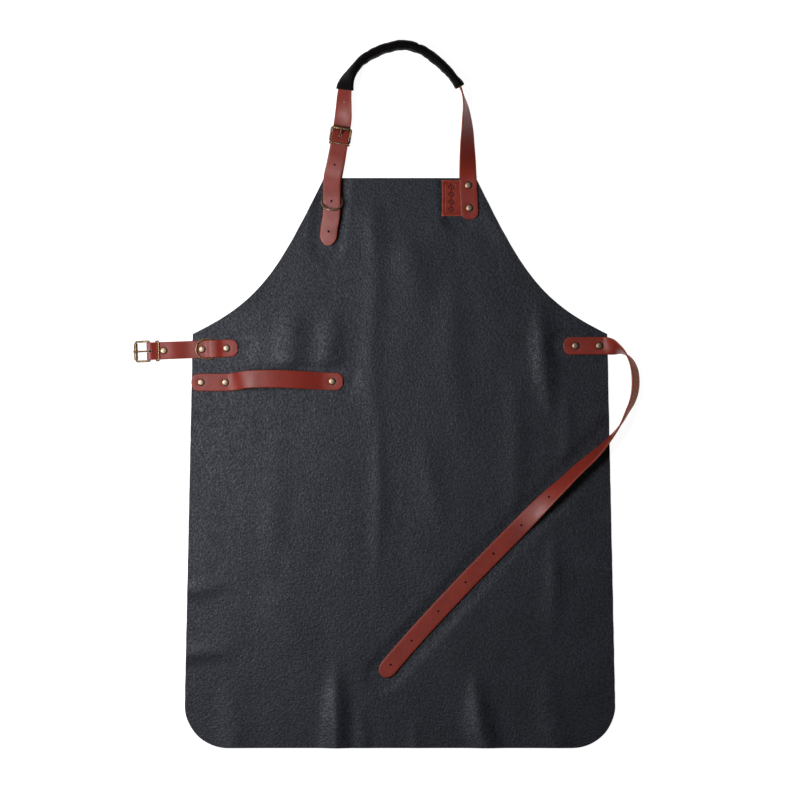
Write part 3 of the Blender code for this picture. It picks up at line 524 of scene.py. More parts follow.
# each face of the leather: its low, high and rim colours, its roughness and how much nap it has
STRAP_SKINS = [russet("strap_" + name, *look) for name, *look in (
    ("grain", (0.166, 0.0150, 0.0075), (0.228, 0.0218, 0.0118), (0.200, 0.0190, 0.0070), 0.45, 0.0),
    # the cut edges are painted a lighter orange than the grain: partly their own colour, partly a painted
    # highlight
    ("rim", (0.200, 0.0260, 0.0080), (0.340, 0.0640, 0.0200), (0.260, 0.0400, 0.0120), 0.42, 0.0),
    ("flesh", (0.240, 0.064, 0.031), (0.350, 0.105, 0.055), (0.240, 0.050, 0.020), 0.80, 0.4),
)]


def end_share(distance, length, power):
    """The share of its full width that a strap has at a distance from a rounded end."""
    if distance >= length:
        return 1.0
    share = max(distance / length, 0.01)
    return (1.0 - (1.0 - share) ** power) ** (1.0 / power)


def strap_section():
    """Points of (across, out) round a strap's section, which ends where it began."""
    flat, thick = STRAP_HALF - RIM_RADIUS, STRAP_HALF_THICK - RIM_RADIUS
    half = [(flat - flat * k / 4, STRAP_HALF_THICK) for k in range(9)]
    for middle_z, first, last in ((thick, 1, 4), (-thick, 4, 8)):
        for k in range(first, last + 1):
            angle = math.pi / 2 + math.pi / 8 * k
            half.append((-flat + RIM_RADIUS * math.cos(angle), middle_z + RIM_RADIUS * math.sin(angle)))
    return half + [(-across, -out) for across, out in half[1:]]


def flat_strap(name, length, first_end, last_end):
    """A strap along +X with its grain up: a grid rolled into a closed section, ends filled."""
    section = strap_section()
    crowd = [1 - math.cos(math.pi / 2 * k / END_TURNS) for k in range(END_TURNS + 1)]
    marks = [first_end[0] * share for share in crowd[:-1]]
    middle = length - first_end[0] - last_end[0]
    count = round(middle / MESH_STEP)
    marks += [first_end[0] + middle * k / count for k in range(count)]
    marks += [length - last_end[0] * share for share in reversed(crowd)]
    piece = fresh(
        bpy.ops.mesh.primitive_grid_add,
        x_subdivisions=len(marks) - 1, y_subdivisions=len(section) - 1, size=2.0,
    )
    piece.name = piece.data.name = name
    for vertex in piece.data.vertices:
        mark = marks[round((vertex.co.x + 1.0) / 2.0 * (len(marks) - 1))]
        across, out = section[round((vertex.co.y + 1.0) / 2.0 * (len(section) - 1))]
        width = end_share(mark, *first_end) * end_share(length - mark, *last_end)
        from_end = min(mark, length - mark, RIM_RADIUS) / RIM_RADIUS
        thick = 0.35 + 0.65 * math.sqrt(1 - (1 - from_end) ** 2)
        vertex.co = (mark, across * width, out * thick)
    bpy.ops.object.mode_set(mode="EDIT")
    bpy.ops.mesh.select_all(action="SELECT")
    bpy.ops.mesh.remove_doubles(threshold=1e-6)
    bpy.ops.mesh.select_all(action="DESELECT")
    bpy.ops.mesh.select_non_manifold()
    bpy.ops.mesh.fill_holes(sides=0)
    bpy.ops.mesh.select_all(action="SELECT")
    bpy.ops.mesh.normals_make_consistent(inside=False)
    bpy.ops.object.mode_set(mode="OBJECT")
    return piece


def cut_away(piece, tool):
    """Takes the shape of a tool out of a piece, and takes the tool away."""
    apply_modifier(piece, "BOOLEAN", object=tool, operation="DIFFERENCE", solver="EXACT")
    bpy.data.objects.remove(tool, do_unlink=True)


def punch(piece, distances, diameter=HOLE_DIAMETER):
    """Punches round holes in the strap's middle line, a little open at the grain side."""
    for distance in distances:
        tool = fresh(
            bpy.ops.mesh.primitive_cylinder_add,
            vertices=24, radius=diameter / 2, depth=PUNCH_DEPTH, location=(distance, 0.0, 0.0),
        )
        for vertex in tool.data.vertices:
            if vertex.co.z > 0.0:
                vertex.co.x *= HOLE_FLARE
                vertex.co.y *= HOLE_FLARE
        cut_away(piece, tool)


def punch_slot(piece, start, stop, width):
    """Punches a slot with round ends along the strap's middle line."""
    tool = fresh(
        bpy.ops.mesh.primitive_cylinder_add,
        vertices=32, radius=width / 2, depth=PUNCH_DEPTH, location=(0.0, 0.0, 0.0),
    )
    for vertex in tool.data.vertices:
        vertex.co.x += stop - width / 2 if vertex.co.x > 0.0 else start + width / 2
    cut_away(piece, tool)


def dress_strap(piece, stations, spots, step=STATION_STEP):
    """Gives a flat strap its skins, keeps its flat coordinates and lays it along its stations."""
    mesh = piece.data
    wear(piece, *STRAP_SKINS)
    for face in mesh.polygons:
        face.material_index = 0 if face.normal.z > 0.55 else 2 if face.normal.z < -0.8 else 1
    for layer in list(mesh.uv_layers):
        mesh.uv_layers.remove(layer)
    flat = mesh.uv_layers.new(name="flat")
    for loop in mesh.loops:
        flat.data[loop.index].uv = mesh.vertices[loop.vertex_index].co.xy
    for vertex in mesh.vertices:
        mark, across, out = vertex.co
        for spot in spots:
            if out > 0.0:
                away = math.hypot(mark - spot, across)
                out -= DIMPLE_DEPTH * (1 - ease(away, DIMPLE_INNER, DIMPLE_OUTER))
        at = min(max(mark / step, 0.0), len(stations) - 1.001)
        low = int(at)
        middle, side, normal = (a.lerp(b, at - low) for a, b in zip(stations[low], stations[low + 1]))
        vertex.co = middle + side.normalized() * across + normal.normalized() * out
    smooth(piece, 35.0)


class Route:
    """A smooth curve through points of (x, y, z, roll in degrees)."""

    def __init__(self, points):
        self.points = [Vector(point) for point in points]
        self.marks = [0.0]
        for before, after in zip(self.points, self.points[1:]):
            self.marks.append(self.marks[-1] + (after.xyz - before.xyz).length)
        self.length = self.marks[-1]
        self.slopes = [self.slope(index) for index in range(len(self.points))]

    def slope(self, index):
        """How fast the curve moves at one of its points."""
        last = len(self.points) - 1
        low, high = max(index - 1, 0), min(index + 1, last)
        sides = [
            ((self.points[b] - self.points[a]) / (self.marks[b] - self.marks[a]),
             self.marks[b] - self.marks[a])
            for a, b in ((low, index), (index, high)) if a != b
        ]
        if len(sides) == 1:
            return sides[0][0]
        (slope_before, run_before), (slope_after, run_after) = sides
        return (slope_before * run_after + slope_after * run_before) / (run_before + run_after)

    def at(self, distance):
        """The point and roll at a distance from the start."""
        distance = min(max(distance, 0.0), self.length)
        index = 0
        while index < len(self.points) - 2 and self.marks[index + 1] < distance:
            index += 1
        run = self.marks[index + 1] - self.marks[index]
        u = (distance - self.marks[index]) / run
        return (
            self.points[index] * (2 * u**3 - 3 * u**2 + 1)
            + self.slopes[index] * run * (u**3 - 2 * u**2 + u)
            + self.points[index + 1] * (3 * u**2 - 2 * u**3)
            + self.slopes[index + 1] * run * (u**3 - u**2)
        )

    def station(self, distance):
        """The middle of the strap, the way towards its left edge, and the way out of its grain."""
        here = self.at(distance)
        forward = (self.at(distance + 0.0005).xyz - self.at(distance - 0.0005).xyz).normalized()
        left = UP.cross(forward).normalized()
        roll = math.radians(here.w)
        side = left * math.cos(roll) + forward.cross(left) * math.sin(roll)
        return here.xyz, side, forward.cross(side)

    def stations(self, step):
        """Stations all the way along, a step apart."""
        return [self.station(step * k) for k in range(int(self.length / step) + 2)]

    def nearest(self, x, y):
        """The distance along the route whose point comes nearest to (x, y)."""
        count = round(self.length * 1000)
        marks = [self.length * k / count for k in range(count + 1)]
        return min(marks, key=lambda mark: (self.at(mark).xy - Vector((x, y))).length)


def laid_route(*points):
    """A route through points of (x, y, floor, roll) in millimetres and degrees.

    The floor is the height of the strap's lower edge.
    """
    places = []
    for x, y, floor, roll in points:
        height = floor / 1000 + STRAP_HALF * math.sin(math.radians(roll))
        height += STRAP_HALF_THICK * abs(math.cos(math.radians(roll)))
        places.append((x / 1000, y / 1000, height, roll))
    return Route(places)


def rivet_marks(route, stem, *ends):
    """How far along a route some rivets are."""
    return [route.nearest(*RIVET_SPOTS[stem + end]) for end in ends]


# ---- Towel loop --------------------------------------------------------------------------------------
# A short strap on the left, held by two rivets at its outer end and one at its inner end, and humped
# between them so that a cloth goes through.

towel_route = laid_route(
    (-290.9, 112.3, 1.7, 0), (-277.5, 112.5, 1.7, 0), (-260.0, 112.5, 1.7, 0),
    (-243.6, 112.6, 1.7, 0), (-237.6, 112.8, 1.7, 0), (-229.0, 113.8, 4.9, 0),
    (-221.0, 115.3, 10.7, 0), (-210.0, 116.7, 15.0, 0), (-190.0, 117.4, 16.6, 0),
    (-165.0, 117.2, 15.2, 0), (-140.0, 116.1, 10.6, 0), (-119.0, 114.9, 4.9, 0),
    (-107.5, 114.2, 2.1, 0), (-101.0, 113.9, 1.7, 0), (-94.8, 113.8, 1.7, 0),
    (-79.3, 113.6, 1.7, 0),
)
towel_loop = flat_strap("towel_strap", towel_route.length, ROUND_END, ROUND_END)
towel_rivets = rivet_marks(towel_route, "towel_loop_rivet_", "outer", "inner", "far")
dress_strap(towel_loop, towel_route.stations(STATION_STEP), towel_rivets)
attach(towel_loop, "apron")
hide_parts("towel_loop")


# ---- Waist strap -------------------------------------------------------------------------------------
# A long strap with eight holes, held by two rivets at the right. It turns on edge as it leaves the
# panel, loops round outside it and lies back across the front.

waist_route = laid_route(
    (227.8, 163.2, 1.7, 0), (244.7, 163.4, 1.7, 0), (262.0, 163.5, 1.7, 0),
    (279.0, 163.6, 1.7, 0), (284.5, 163.6, 1.7, 0), (290.0, 163.2, 1.7, 10),
    (296.5, 161.8, 1.2, 32),
    (304.0, 158.6, 0.6, 60), (313.9, 152.1, 0.3, 88), (320.9, 143.7, 0.3, 103),
    (325.7, 132.5, 0.3, 112), (328.0, 114.4, 0.3, 116), (326.9, 99.0, 0.3, 114),
    (323.0, 85.1, 0.3, 109), (316.7, 72.5, 0.3, 102), (306.9, 53.7, 1.0, 93),
    (295.7, 38.4, 1.8, 84), (279.0, 19.5, 1.8, 71), (265.1, 6.3, 1.8, 61),
    (248.0, -8.8, 1.8, 55), (230.9, -25.8, 1.8, 49), (209.0, -46.5, 1.8, 34),
    (190.0, -65.6, 1.8, 18), (170.1, -86.1, 1.7, 5), (150.0, -106.6, 1.7, 0),
    (131.3, -125.6, 1.7, 0), (92.2, -165.6, 1.7, 0), (54.3, -205.8, 1.7, 0),
    (16.5, -247.3, 1.7, 0), (-12.6, -281.0, 1.7, 0), (-25.8, -297.1, 1.7, 0),
)
waist_strap = flat_strap("waist_long_strap", waist_route.length, ROUND_END, LONG_TIP)
TIP_HOLE, NEXT_HOLE, HOLE_PITCH = 0.0205, 0.0650, 0.0555
waist_holes = [TIP_HOLE] + [NEXT_HOLE + HOLE_PITCH * k for k in range(7)]
punch(waist_strap, [waist_route.length - from_tip for from_tip in waist_holes])
waist_rivets = rivet_marks(waist_route, "waist_strap_rivet_", "inner", "outer")
dress_strap(waist_strap, waist_route.stations(STATION_STEP), waist_rivets)
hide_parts("waist_strap")
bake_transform(waist_strap)


# ---- Buckle tabs -------------------------------------------------------------------------------------
# At the left of the waist and of the bib a tab is folded round the heel bar of a roller buckle and
# riveted shut behind it. A slot in the fold lets the tongue through. Each tab also holds a D-ring.

HEEL_WIRE = 0.0022
FOLD_RADIUS = HEEL_WIRE / 2 + 0.0005 + STRAP_HALF_THICK
BEND_LENGTH = math.pi * FOLD_RADIUS
UNDER_LENGTH = 0.028
FOLD_STEP, SLOT_REACH, SLOT_WIDTH = 0.0005, 0.0042, 0.0032
ON_PANEL = HIDE_THICKNESS + 0.0003 + STRAP_HALF_THICK
OVER_RING = HIDE_THICKNESS + 0.0003 + HEEL_WIRE + 0.00035 + STRAP_HALF_THICK


class Tab:
    """Where a buckle sits: local X runs from its heel bar along the tab, local Z is up."""

    def __init__(self, heel, heading, tilt):
        turn = Matrix.Rotation(math.radians(heading), 4, "Z")
        self.heel = Vector(heel)
        self.place = Matrix.Translation(self.heel) @ turn
        self.along = (turn @ Vector((1.0, 0.0, 0.0))).xyz
        self.across = (turn @ Vector((0.0, 1.0, 0.0))).xyz
        self.lean = Matrix.Rotation(math.pi, 4, "Z") @ Matrix.Rotation(-math.radians(tilt), 4, "Y")
        self.lower = self.heel.z - FOLD_RADIUS + 2 * STRAP_HALF_THICK + 0.0003

    def point(self, distance, height):
        """A point over the tab's middle line, at a height over the table."""
        return self.place @ Vector((distance, 0.0, height - self.heel.z))


def level(knots, distance):
    """A height that is level at each knot of (distance, height) and smooth between them."""
    if distance <= knots[0][0]:
        return knots[0][1]
    for (near, low), (far, high) in zip(knots, knots[1:]):
        if distance <= far:
            return low + (high - low) * ease(distance, near, far)
    return knots[-1][1]


def fold_stations(tab, plan, knots):
    """Stations from the end of the under layer, round the heel bar and along the upper layer."""
    under = tab.heel.z - FOLD_RADIUS
    route = Route([(x, y, 0.0, 0.0) for x, y in plan])
    length = UNDER_LENGTH + BEND_LENGTH + route.length
    stations = []
    for k in range(int(length / FOLD_STEP) + 2):
        mark = k * FOLD_STEP
        if mark < UNDER_LENGTH:
            stations.append((tab.point(UNDER_LENGTH - mark, under), tab.across, -UP))
        elif mark < UNDER_LENGTH + BEND_LENGTH:
            angle = math.pi * (mark - UNDER_LENGTH) / BEND_LENGTH
            out = -tab.along * math.sin(angle) - UP * math.cos(angle)
            stations.append((tab.heel + out * FOLD_RADIUS, tab.across, out))
        else:
            mark -= UNDER_LENGTH + BEND_LENGTH
            middle, side, _ = route.station(mark)
            rise = level(knots, mark + 0.0002) - level(knots, mark - 0.0002)
            slope = (side.cross(UP) * 0.0004 + UP * rise).normalized()
            stations.append((Vector((middle.x, middle.y, level(knots, mark))), side, slope.cross(side)))
    return stations, length


def buckle_tab(name, tab, plan, knots, rivets):
    """A tab with its slot, laid round its heel bar; rivets are distances from the bar."""
    stations, length = fold_stations(tab, plan, knots)
    piece = flat_strap(name, length, CUT_END, ROUND_END)
    punch_slot(piece, UNDER_LENGTH - SLOT_REACH, UNDER_LENGTH + BEND_LENGTH + SLOT_REACH, SLOT_WIDTH)
    dress_strap(piece, stations, [UNDER_LENGTH + BEND_LENGTH + distance for distance in rivets], FOLD_STEP)
    return piece


FOLD_RIVET_AT = 0.0199
waist_tab = Tab((-0.3491, 0.1559, 0.0064), 2.2, -10.4)
waist_ring_at = 0.0890
waist_plan = [waist_tab.point(distance, 0.0).xy for distance in (0.0, 0.0617, 0.1233)]
waist_knots = (
    (0.0, waist_tab.heel.z + FOLD_RADIUS), (0.0125, waist_tab.lower), (0.0290, waist_tab.lower),
    (0.0580, ON_PANEL), (0.0784, ON_PANEL), (waist_ring_at - 0.003, OVER_RING),
    (waist_ring_at + 0.003, OVER_RING), (0.1020, ON_PANEL), (0.1300, ON_PANEL),
)
waist_rivets = (FOLD_RIVET_AT, 0.0731, 0.1073)
waist_leather = buckle_tab("waist_buckle_tab", waist_tab, waist_plan, waist_knots, waist_rivets)
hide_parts("waist_tab_strap")
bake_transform(waist_leather)

neck_tab = Tab((-0.0843, 0.4474, 0.0082), -99.0, 14.0)
neck_plan = [neck_tab.point(distance, 0.0).xy for distance in (0.0, 0.014, UNDER_LENGTH)]
neck_plan += [
    Vector((-0.0910, 0.4080)), Vector((-0.0930, 0.3970)), Vector((-0.0941, 0.3860)),
    Vector((-0.0943, 0.3705)), Vector((-0.0943, 0.3390)),
]
plan_route = Route([(x, y, 0.0, 0.0) for x, y in neck_plan])
edge_mark, ring_mark = plan_route.nearest(-0.0930, BIB_TOP), plan_route.nearest(-0.0943, 0.3705)
neck_knots = (
    (0.0, neck_tab.heel.z + FOLD_RADIUS), (0.0125, neck_tab.lower), (0.0285, neck_tab.lower),
    (edge_mark - 0.002, ON_PANEL), (ring_mark - 0.0115, ON_PANEL), (ring_mark - 0.003, OVER_RING),
    (ring_mark + 0.003, OVER_RING), (ring_mark + 0.0120, ON_PANEL), (0.1300, ON_PANEL),
)
neck_rivets = (FOLD_RIVET_AT, *rivet_marks(plan_route, "neck_tab_rivet_", "near", "far"))
neck_leather = buckle_tab("neck_buckle_tab", neck_tab, neck_plan, neck_knots, neck_rivets)
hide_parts("neck_tab_strap")
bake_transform(neck_leather)


# ---- Neck strap --------------------------------------------------------------------------------------
# One long strap over the neck. It is riveted at the right through the patch, turns on edge through
# the sleeve, comes down through the left buckle and ends in a tip under the D-ring.

neck_axis = [neck_tab.point(distance, 0.0) * 1000 for distance in (-0.030, -0.0189, -0.0095, 0.0, 0.0060)]
neck_route = laid_route(
    (97.5, 339.7, 3.2, 0), (96.8, 355.7, 3.2, 0), (96.0, 372.5, 3.2, 0),
    (95.1, 387.3, 3.2, 0), (95.0, 393.4, 3.2, 0), (94.6, 401.0, 2.8, 7),
    (94.4, 410.0, 1.7, 15), (94.2, 422.7, 0.6, 22), (93.9, 436.0, 0.3, 31),
    (93.7, 448.0, 0.3, 38), (93.7, 461.7, 0.5, 47), (92.8, 478.5, 1.2, 59),
    (91.4, 495.2, 2.4, 73), (88.2, 510.6, 3.6, 86), (84.4, 522.2, 4.1, 90),
    (76.7, 533.6, 4.1, 90), (67.0, 545.4, 4.1, 90), (48.8, 562.2, 4.1, 90),
    (27.9, 576.1, 4.1, 90), (4.2, 581.7, 4.1, 90), (-20.9, 576.8, 4.1, 90),
    (-39.1, 569.2, 4.1, 90), (-55.8, 557.3, 4.1, 88), (-67.7, 542.7, 4.3, 74),
    (-75.6, 526.0, 4.8, 46), (-77.6, 510.6, 5.2, 36), (-78.4, 493.8, 5.2, 25),
    (neck_axis[0].x, neck_axis[0].y, 6.2, 8), (neck_axis[1].x, neck_axis[1].y, 7.25, 0),
    (neck_axis[2].x, neck_axis[2].y, 10.1, 0), (neck_axis[3].x, neck_axis[3].y, 12.9, 0),
    (neck_axis[4].x, neck_axis[4].y, 12.8, 0), (-86.6, 434.0, 12.5, 0),
    (-88.5, 424.5, 12.1, 0), (-91.0, 413.0, 8.9, 4), (-93.8, 401.5, 6.2, 7),
    (-95.0, 390.0, 6.3, 7), (-95.1, 370.5, 7.3, 7), (-95.2, 353.0, 5.9, 7),
    (-96.2, 341.0, 4.9, 8), (-98.8, 327.0, 3.4, 8), (-100.0, 314.0, 2.4, 8),
    (-100.8, 303.0, 2.0, 8),
)
neck_strap = flat_strap("neck_long_strap", neck_route.length, ROUND_END, LONG_TIP)
punch(neck_strap, [neck_route.length - from_tip for from_tip in (0.020, 0.0625, 0.1140)])
punch(neck_strap, [neck_route.length - 0.2035], 0.0020)
tongue_mark = neck_route.nearest(*neck_tab.point(-0.0085, 0.0).xy)
punch_slot(neck_strap, tongue_mark - 0.0042, tongue_mark + 0.0038, HOLE_DIAMETER)
neck_rivets = rivet_marks(neck_route, "neck_strap_rivet_", "upper", "lower")
dress_strap(neck_strap, neck_route.stations(STATION_STEP), neck_rivets)
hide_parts("neck_strap")
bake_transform(neck_strap)


# ---- Neck sleeve -------------------------------------------------------------------------------------
# A tube of thin black leather over a little padding. It is a strip turned round the neck strap, with
# its seam sewn along the lower edge. Its mouths are bare, and it wrinkles where it bends.

SLEEVE_AROUND, SLEEVE_STEP, SLEEVE_WALL = 40, 0.0018, 0.0011
SLEEVE_HALF, SLEEVE_HALF_THICK, SLEEVE_SQUARE = 0.0146, 0.0050, 2 / 2.5
sleeve_start, sleeve_stop = neck_route.nearest(0.0837, 0.5235), neck_route.nearest(-0.0775, 0.5200)
sleeve_length = sleeve_stop - sleeve_start
sleeve_rows = round(sleeve_length / SLEEVE_STEP)
sleeve_kink = 1000 * (neck_route.nearest(0.0250, 0.5770) - sleeve_start)


def sleeve_point(u, turn):
    """A point on the outside of the sleeve, at a share of its length and an angle round it."""
    middle, side, normal = neck_route.station(sleeve_start + sleeve_length * u)
    swell = math.sin(math.pi * u) ** 0.5
    c, s = math.cos(turn), math.sin(turn)
    mouth = 1 - ease(u, 0.0, 0.08) + 0.5 * ease(u, 0.95, 1.0)
    across = (SLEEVE_HALF + 0.0012 * swell + 0.0006 * mouth) * math.copysign(abs(c) ** SLEEVE_SQUARE, c)
    out = (SLEEVE_HALF_THICK + 0.0021 * swell + 0.0020 * mouth) * math.copysign(abs(s) ** SLEEVE_SQUARE, s)
    away = u * sleeve_length * 1000
    crease = noise.noise(Vector((away / 7.0, c * 1.3, s * 1.3)))
    crease += 0.6 * noise.noise(Vector((away / 3.4 + 1.2 * c, c * 2.2, s * 2.2 + 5.0)))
    gathered = ease(u, 0.0, 0.06) * (1 - ease(u, 0.94, 1.0))
    lift = 1 + 0.085 * crease * gathered
    ripple = math.sin(away / 3.1 + 5.0 * noise.noise(Vector((away / 23.0, 0.0, 9.0))))
    lift += 0.065 * max(-s, 0.0) * ripple * gathered
    lift -= 0.26 * max(s, 0.0) * math.exp(-(((away - sleeve_kink) / 2.0) ** 2))
    return middle + side * across * (1 + 0.02 * crease * gathered) + normal * out * lift


sleeve = fresh(
    bpy.ops.mesh.primitive_grid_add, x_subdivisions=sleeve_rows, y_subdivisions=SLEEVE_AROUND, size=2.0
)
sleeve.name = sleeve.data.name = "neck_sleeve_tube"
for vertex in sleeve.data.vertices:
    vertex.co = sleeve_point((vertex.co.x + 1.0) / 2.0, math.pi * (vertex.co.y + 1.0))
bpy.ops.object.mode_set(mode="EDIT")
bpy.ops.mesh.select_all(action="SELECT")
bpy.ops.mesh.remove_doubles(threshold=1e-6)
bpy.ops.mesh.normals_make_consistent(inside=False)
bpy.ops.object.mode_set(mode="OBJECT")
ring_middle = sum((sleeve_point(0.5, math.tau * k / 8) for k in range(8)), Vector()) / 8
top = max(sleeve.data.polygons, key=lambda face: face.center.z)
if (top.center - ring_middle).z * top.normal.z < 0.0:
    sleeve.data.flip_normals()
apply_modifier(sleeve, "SOLIDIFY", thickness=SLEEVE_WALL, offset=-1.0)
apply_modifier(sleeve, "SUBSURF", levels=1, render_levels=1)

finish = Finish("sleeve_black")
grain = finish.cloud(700.0, 4.0)
finish.set("Base Color", finish.ramp(grain, (0.3, (0.0014, 0.0009, 0.0012)), (0.7, (0.0040, 0.0028, 0.0034))))
finish.set("Roughness", finish.spread(finish.cloud(90.0), 0.52, 0.66))
finish.set("Specular IOR Level", 0.04)
finish.relief((grain, 0.4, 0.0003), (finish.cloud(220.0), 0.4, 0.0006))
wear(sleeve, finish.material)
smooth(sleeve, 60.0)
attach(sleeve, "neck_loop")
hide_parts("neck_sleeve")

STITCH_PITCH, STITCH_START, STITCH_END, STITCH_RADIUS = 0.0042, 0.0004, 0.0034, 0.00042
SEAM_TURNS = (math.radians(196), math.radians(164))

finish = Finish("waxed_thread")
wax = finish.cloud(2500.0)
finish.set("Base Color", finish.ramp(wax, (0.3, (0.004, 0.003, 0.004)), (0.7, (0.012, 0.010, 0.011))))
finish.set("Roughness", 0.7)
finish.set("Specular IOR Level", 0.15)

stitches = []
for turn in SEAM_TURNS:
    for k in range(3, int(sleeve_length / STITCH_PITCH) - 2):
        first, last = (
            sleeve_point((k * STITCH_PITCH + end) / sleeve_length, turn) for end in (STITCH_START, STITCH_END)
        )
        stitch = fresh(
            bpy.ops.mesh.primitive_cylinder_add, vertices=8, radius=STITCH_RADIUS, depth=(last - first).length
        )
        turned = (last - first).to_track_quat("Z", "Y").to_matrix().to_4x4()
        stitch.data.transform(Matrix.Translation((first + last) / 2) @ turned)
        stitches.append(stitch)
pick(*stitches)
bpy.ops.object.join()
seam = bpy.context.object
seam.name = seam.data.name = "neck_sleeve_stitches"
wear(seam, finish.material)
smooth(seam, 50.0)
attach(seam, "neck_loop")


# ---- Antique brass -----------------------------------------------------------------------------------
# The buckles, keepers and D-rings are bent from round wire and brazed shut. All the brass is
# antiqued: dark where nothing rubs it, and bright on the crowns of the rivets.

finish = Finish("antiqued_brass")
antique_brass = finish.material
tarnish = finish.spread(finish.cloud(350.0, 4.0), -0.25, 0.25)
tarnish = finish.combine("ADD", tarnish, finish.attribute("rubbed"))
finish.set("Base Color", finish.ramp(
    tarnish, (0.05, (0.055, 0.031, 0.016)), (0.45, (0.120, 0.072, 0.037)),
    (0.74, (0.290, 0.195, 0.105)), (1.00, (0.340, 0.265, 0.210)),
))
finish.set("Metallic", 1.0)
finish.set("Specular Tint", (0.42, 0.30, 0.19))
finish.set("Roughness", finish.spread(tarnish, 0.42, 0.46, 0.1, 0.9))
finish.relief((finish.cloud(1600.0), 0.12, 0.0001))


def mark_rubbed(piece, share_of):
    """Says how bright each point of a brass piece is rubbed, from 0 to 1."""
    layer = piece.data.attributes.new("rubbed", "FLOAT", "POINT")
    for vertex, value in zip(piece.data.vertices, layer.data):
        value.value = share_of(vertex.co)


def finish_brass(piece, place, body, *nodes_replaced):
    """Puts a brass piece in its place on its body."""
    piece.data.transform(place)
    piece.matrix_world = Matrix.Identity(4)
    wear(piece, antique_brass)
    smooth(piece, 40.0)
    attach(piece, body)
    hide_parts(*nodes_replaced)


def wire_loop(name, length, half, near_corner, far_corner, thickness):
    """A closed loop of wire from a plane: bar at x = 0, corners rounded, edges made into wire."""
    piece = fresh(bpy.ops.mesh.primitive_plane_add, size=2.0)
    piece.name = name
    for vertex in piece.data.vertices:
        vertex.co = (length if vertex.co.x > 0 else 0.0, math.copysign(half, vertex.co.y), 0.0)
    for end_x, radius, segments in ((length, far_corner, 16), (0.0, near_corner, 7)):
        bpy.ops.object.mode_set(mode="EDIT")
        bpy.ops.mesh.select_mode(type="VERT")
        bpy.ops.mesh.select_all(action="DESELECT")
        bpy.ops.object.mode_set(mode="OBJECT")
        for vertex in piece.data.vertices:
            vertex.select = abs(vertex.co.x - end_x) < 1e-6 and abs(abs(vertex.co.y) - half) < 1e-6
        bpy.ops.object.mode_set(mode="EDIT")
        bpy.ops.mesh.bevel(offset=radius, segments=segments, affect="VERTICES", clamp_overlap=True)
    bpy.ops.mesh.select_all(action="SELECT")
    bpy.ops.mesh.delete(type="ONLY_FACE")
    bpy.ops.mesh.select_all(action="SELECT")
    bpy.ops.mesh.remove_doubles(threshold=1e-6)
    bpy.ops.object.mode_set(mode="OBJECT")
    return make_wire(piece, thickness)


def make_wire(piece, thickness, capped=False):
    """Turns the edges of a piece into round wire."""
    pick(piece)
    bpy.ops.object.convert(target="CURVE")
    piece = bpy.context.object
    piece.data.bevel_depth = thickness / 2
    piece.data.bevel_resolution = 5
    piece.data.use_fill_caps = capped
    bpy.ops.object.convert(target="MESH")
    return bpy.context.object


FRAME_LENGTH, FRAME_HALF, FRAME_WIRE, TONGUE_WIRE = 0.0195, 0.01375, 0.0029, 0.0025
FRAME_NEAR_CORNER, FRAME_FAR_CORNER = 0.0017, 0.0024
ROLLER_RADIUS, ROLLER_WALL, ROLLER_LENGTH = 0.0027, 0.00125, 0.0230
# each tongue from its eye to its tip, as (distance from the heel bar, height)
WAIST_TONGUE = ((0.006, 0.0028), (0.010, 0.0034), (0.014, 0.0037), (FRAME_LENGTH, 0.00405), (0.0222, 0.0037))
NECK_TONGUE = ((0.004, 0.0020), (0.008, 0.0022), (0.012, 0.0034), (FRAME_LENGTH, 0.0041), (0.0222, 0.0036))


def turn_of(vertex):
    """The angle in degrees at which a point of the tongue's eye stands round its middle."""
    return math.degrees(math.atan2(vertex.co.y, vertex.co.x)) % 360


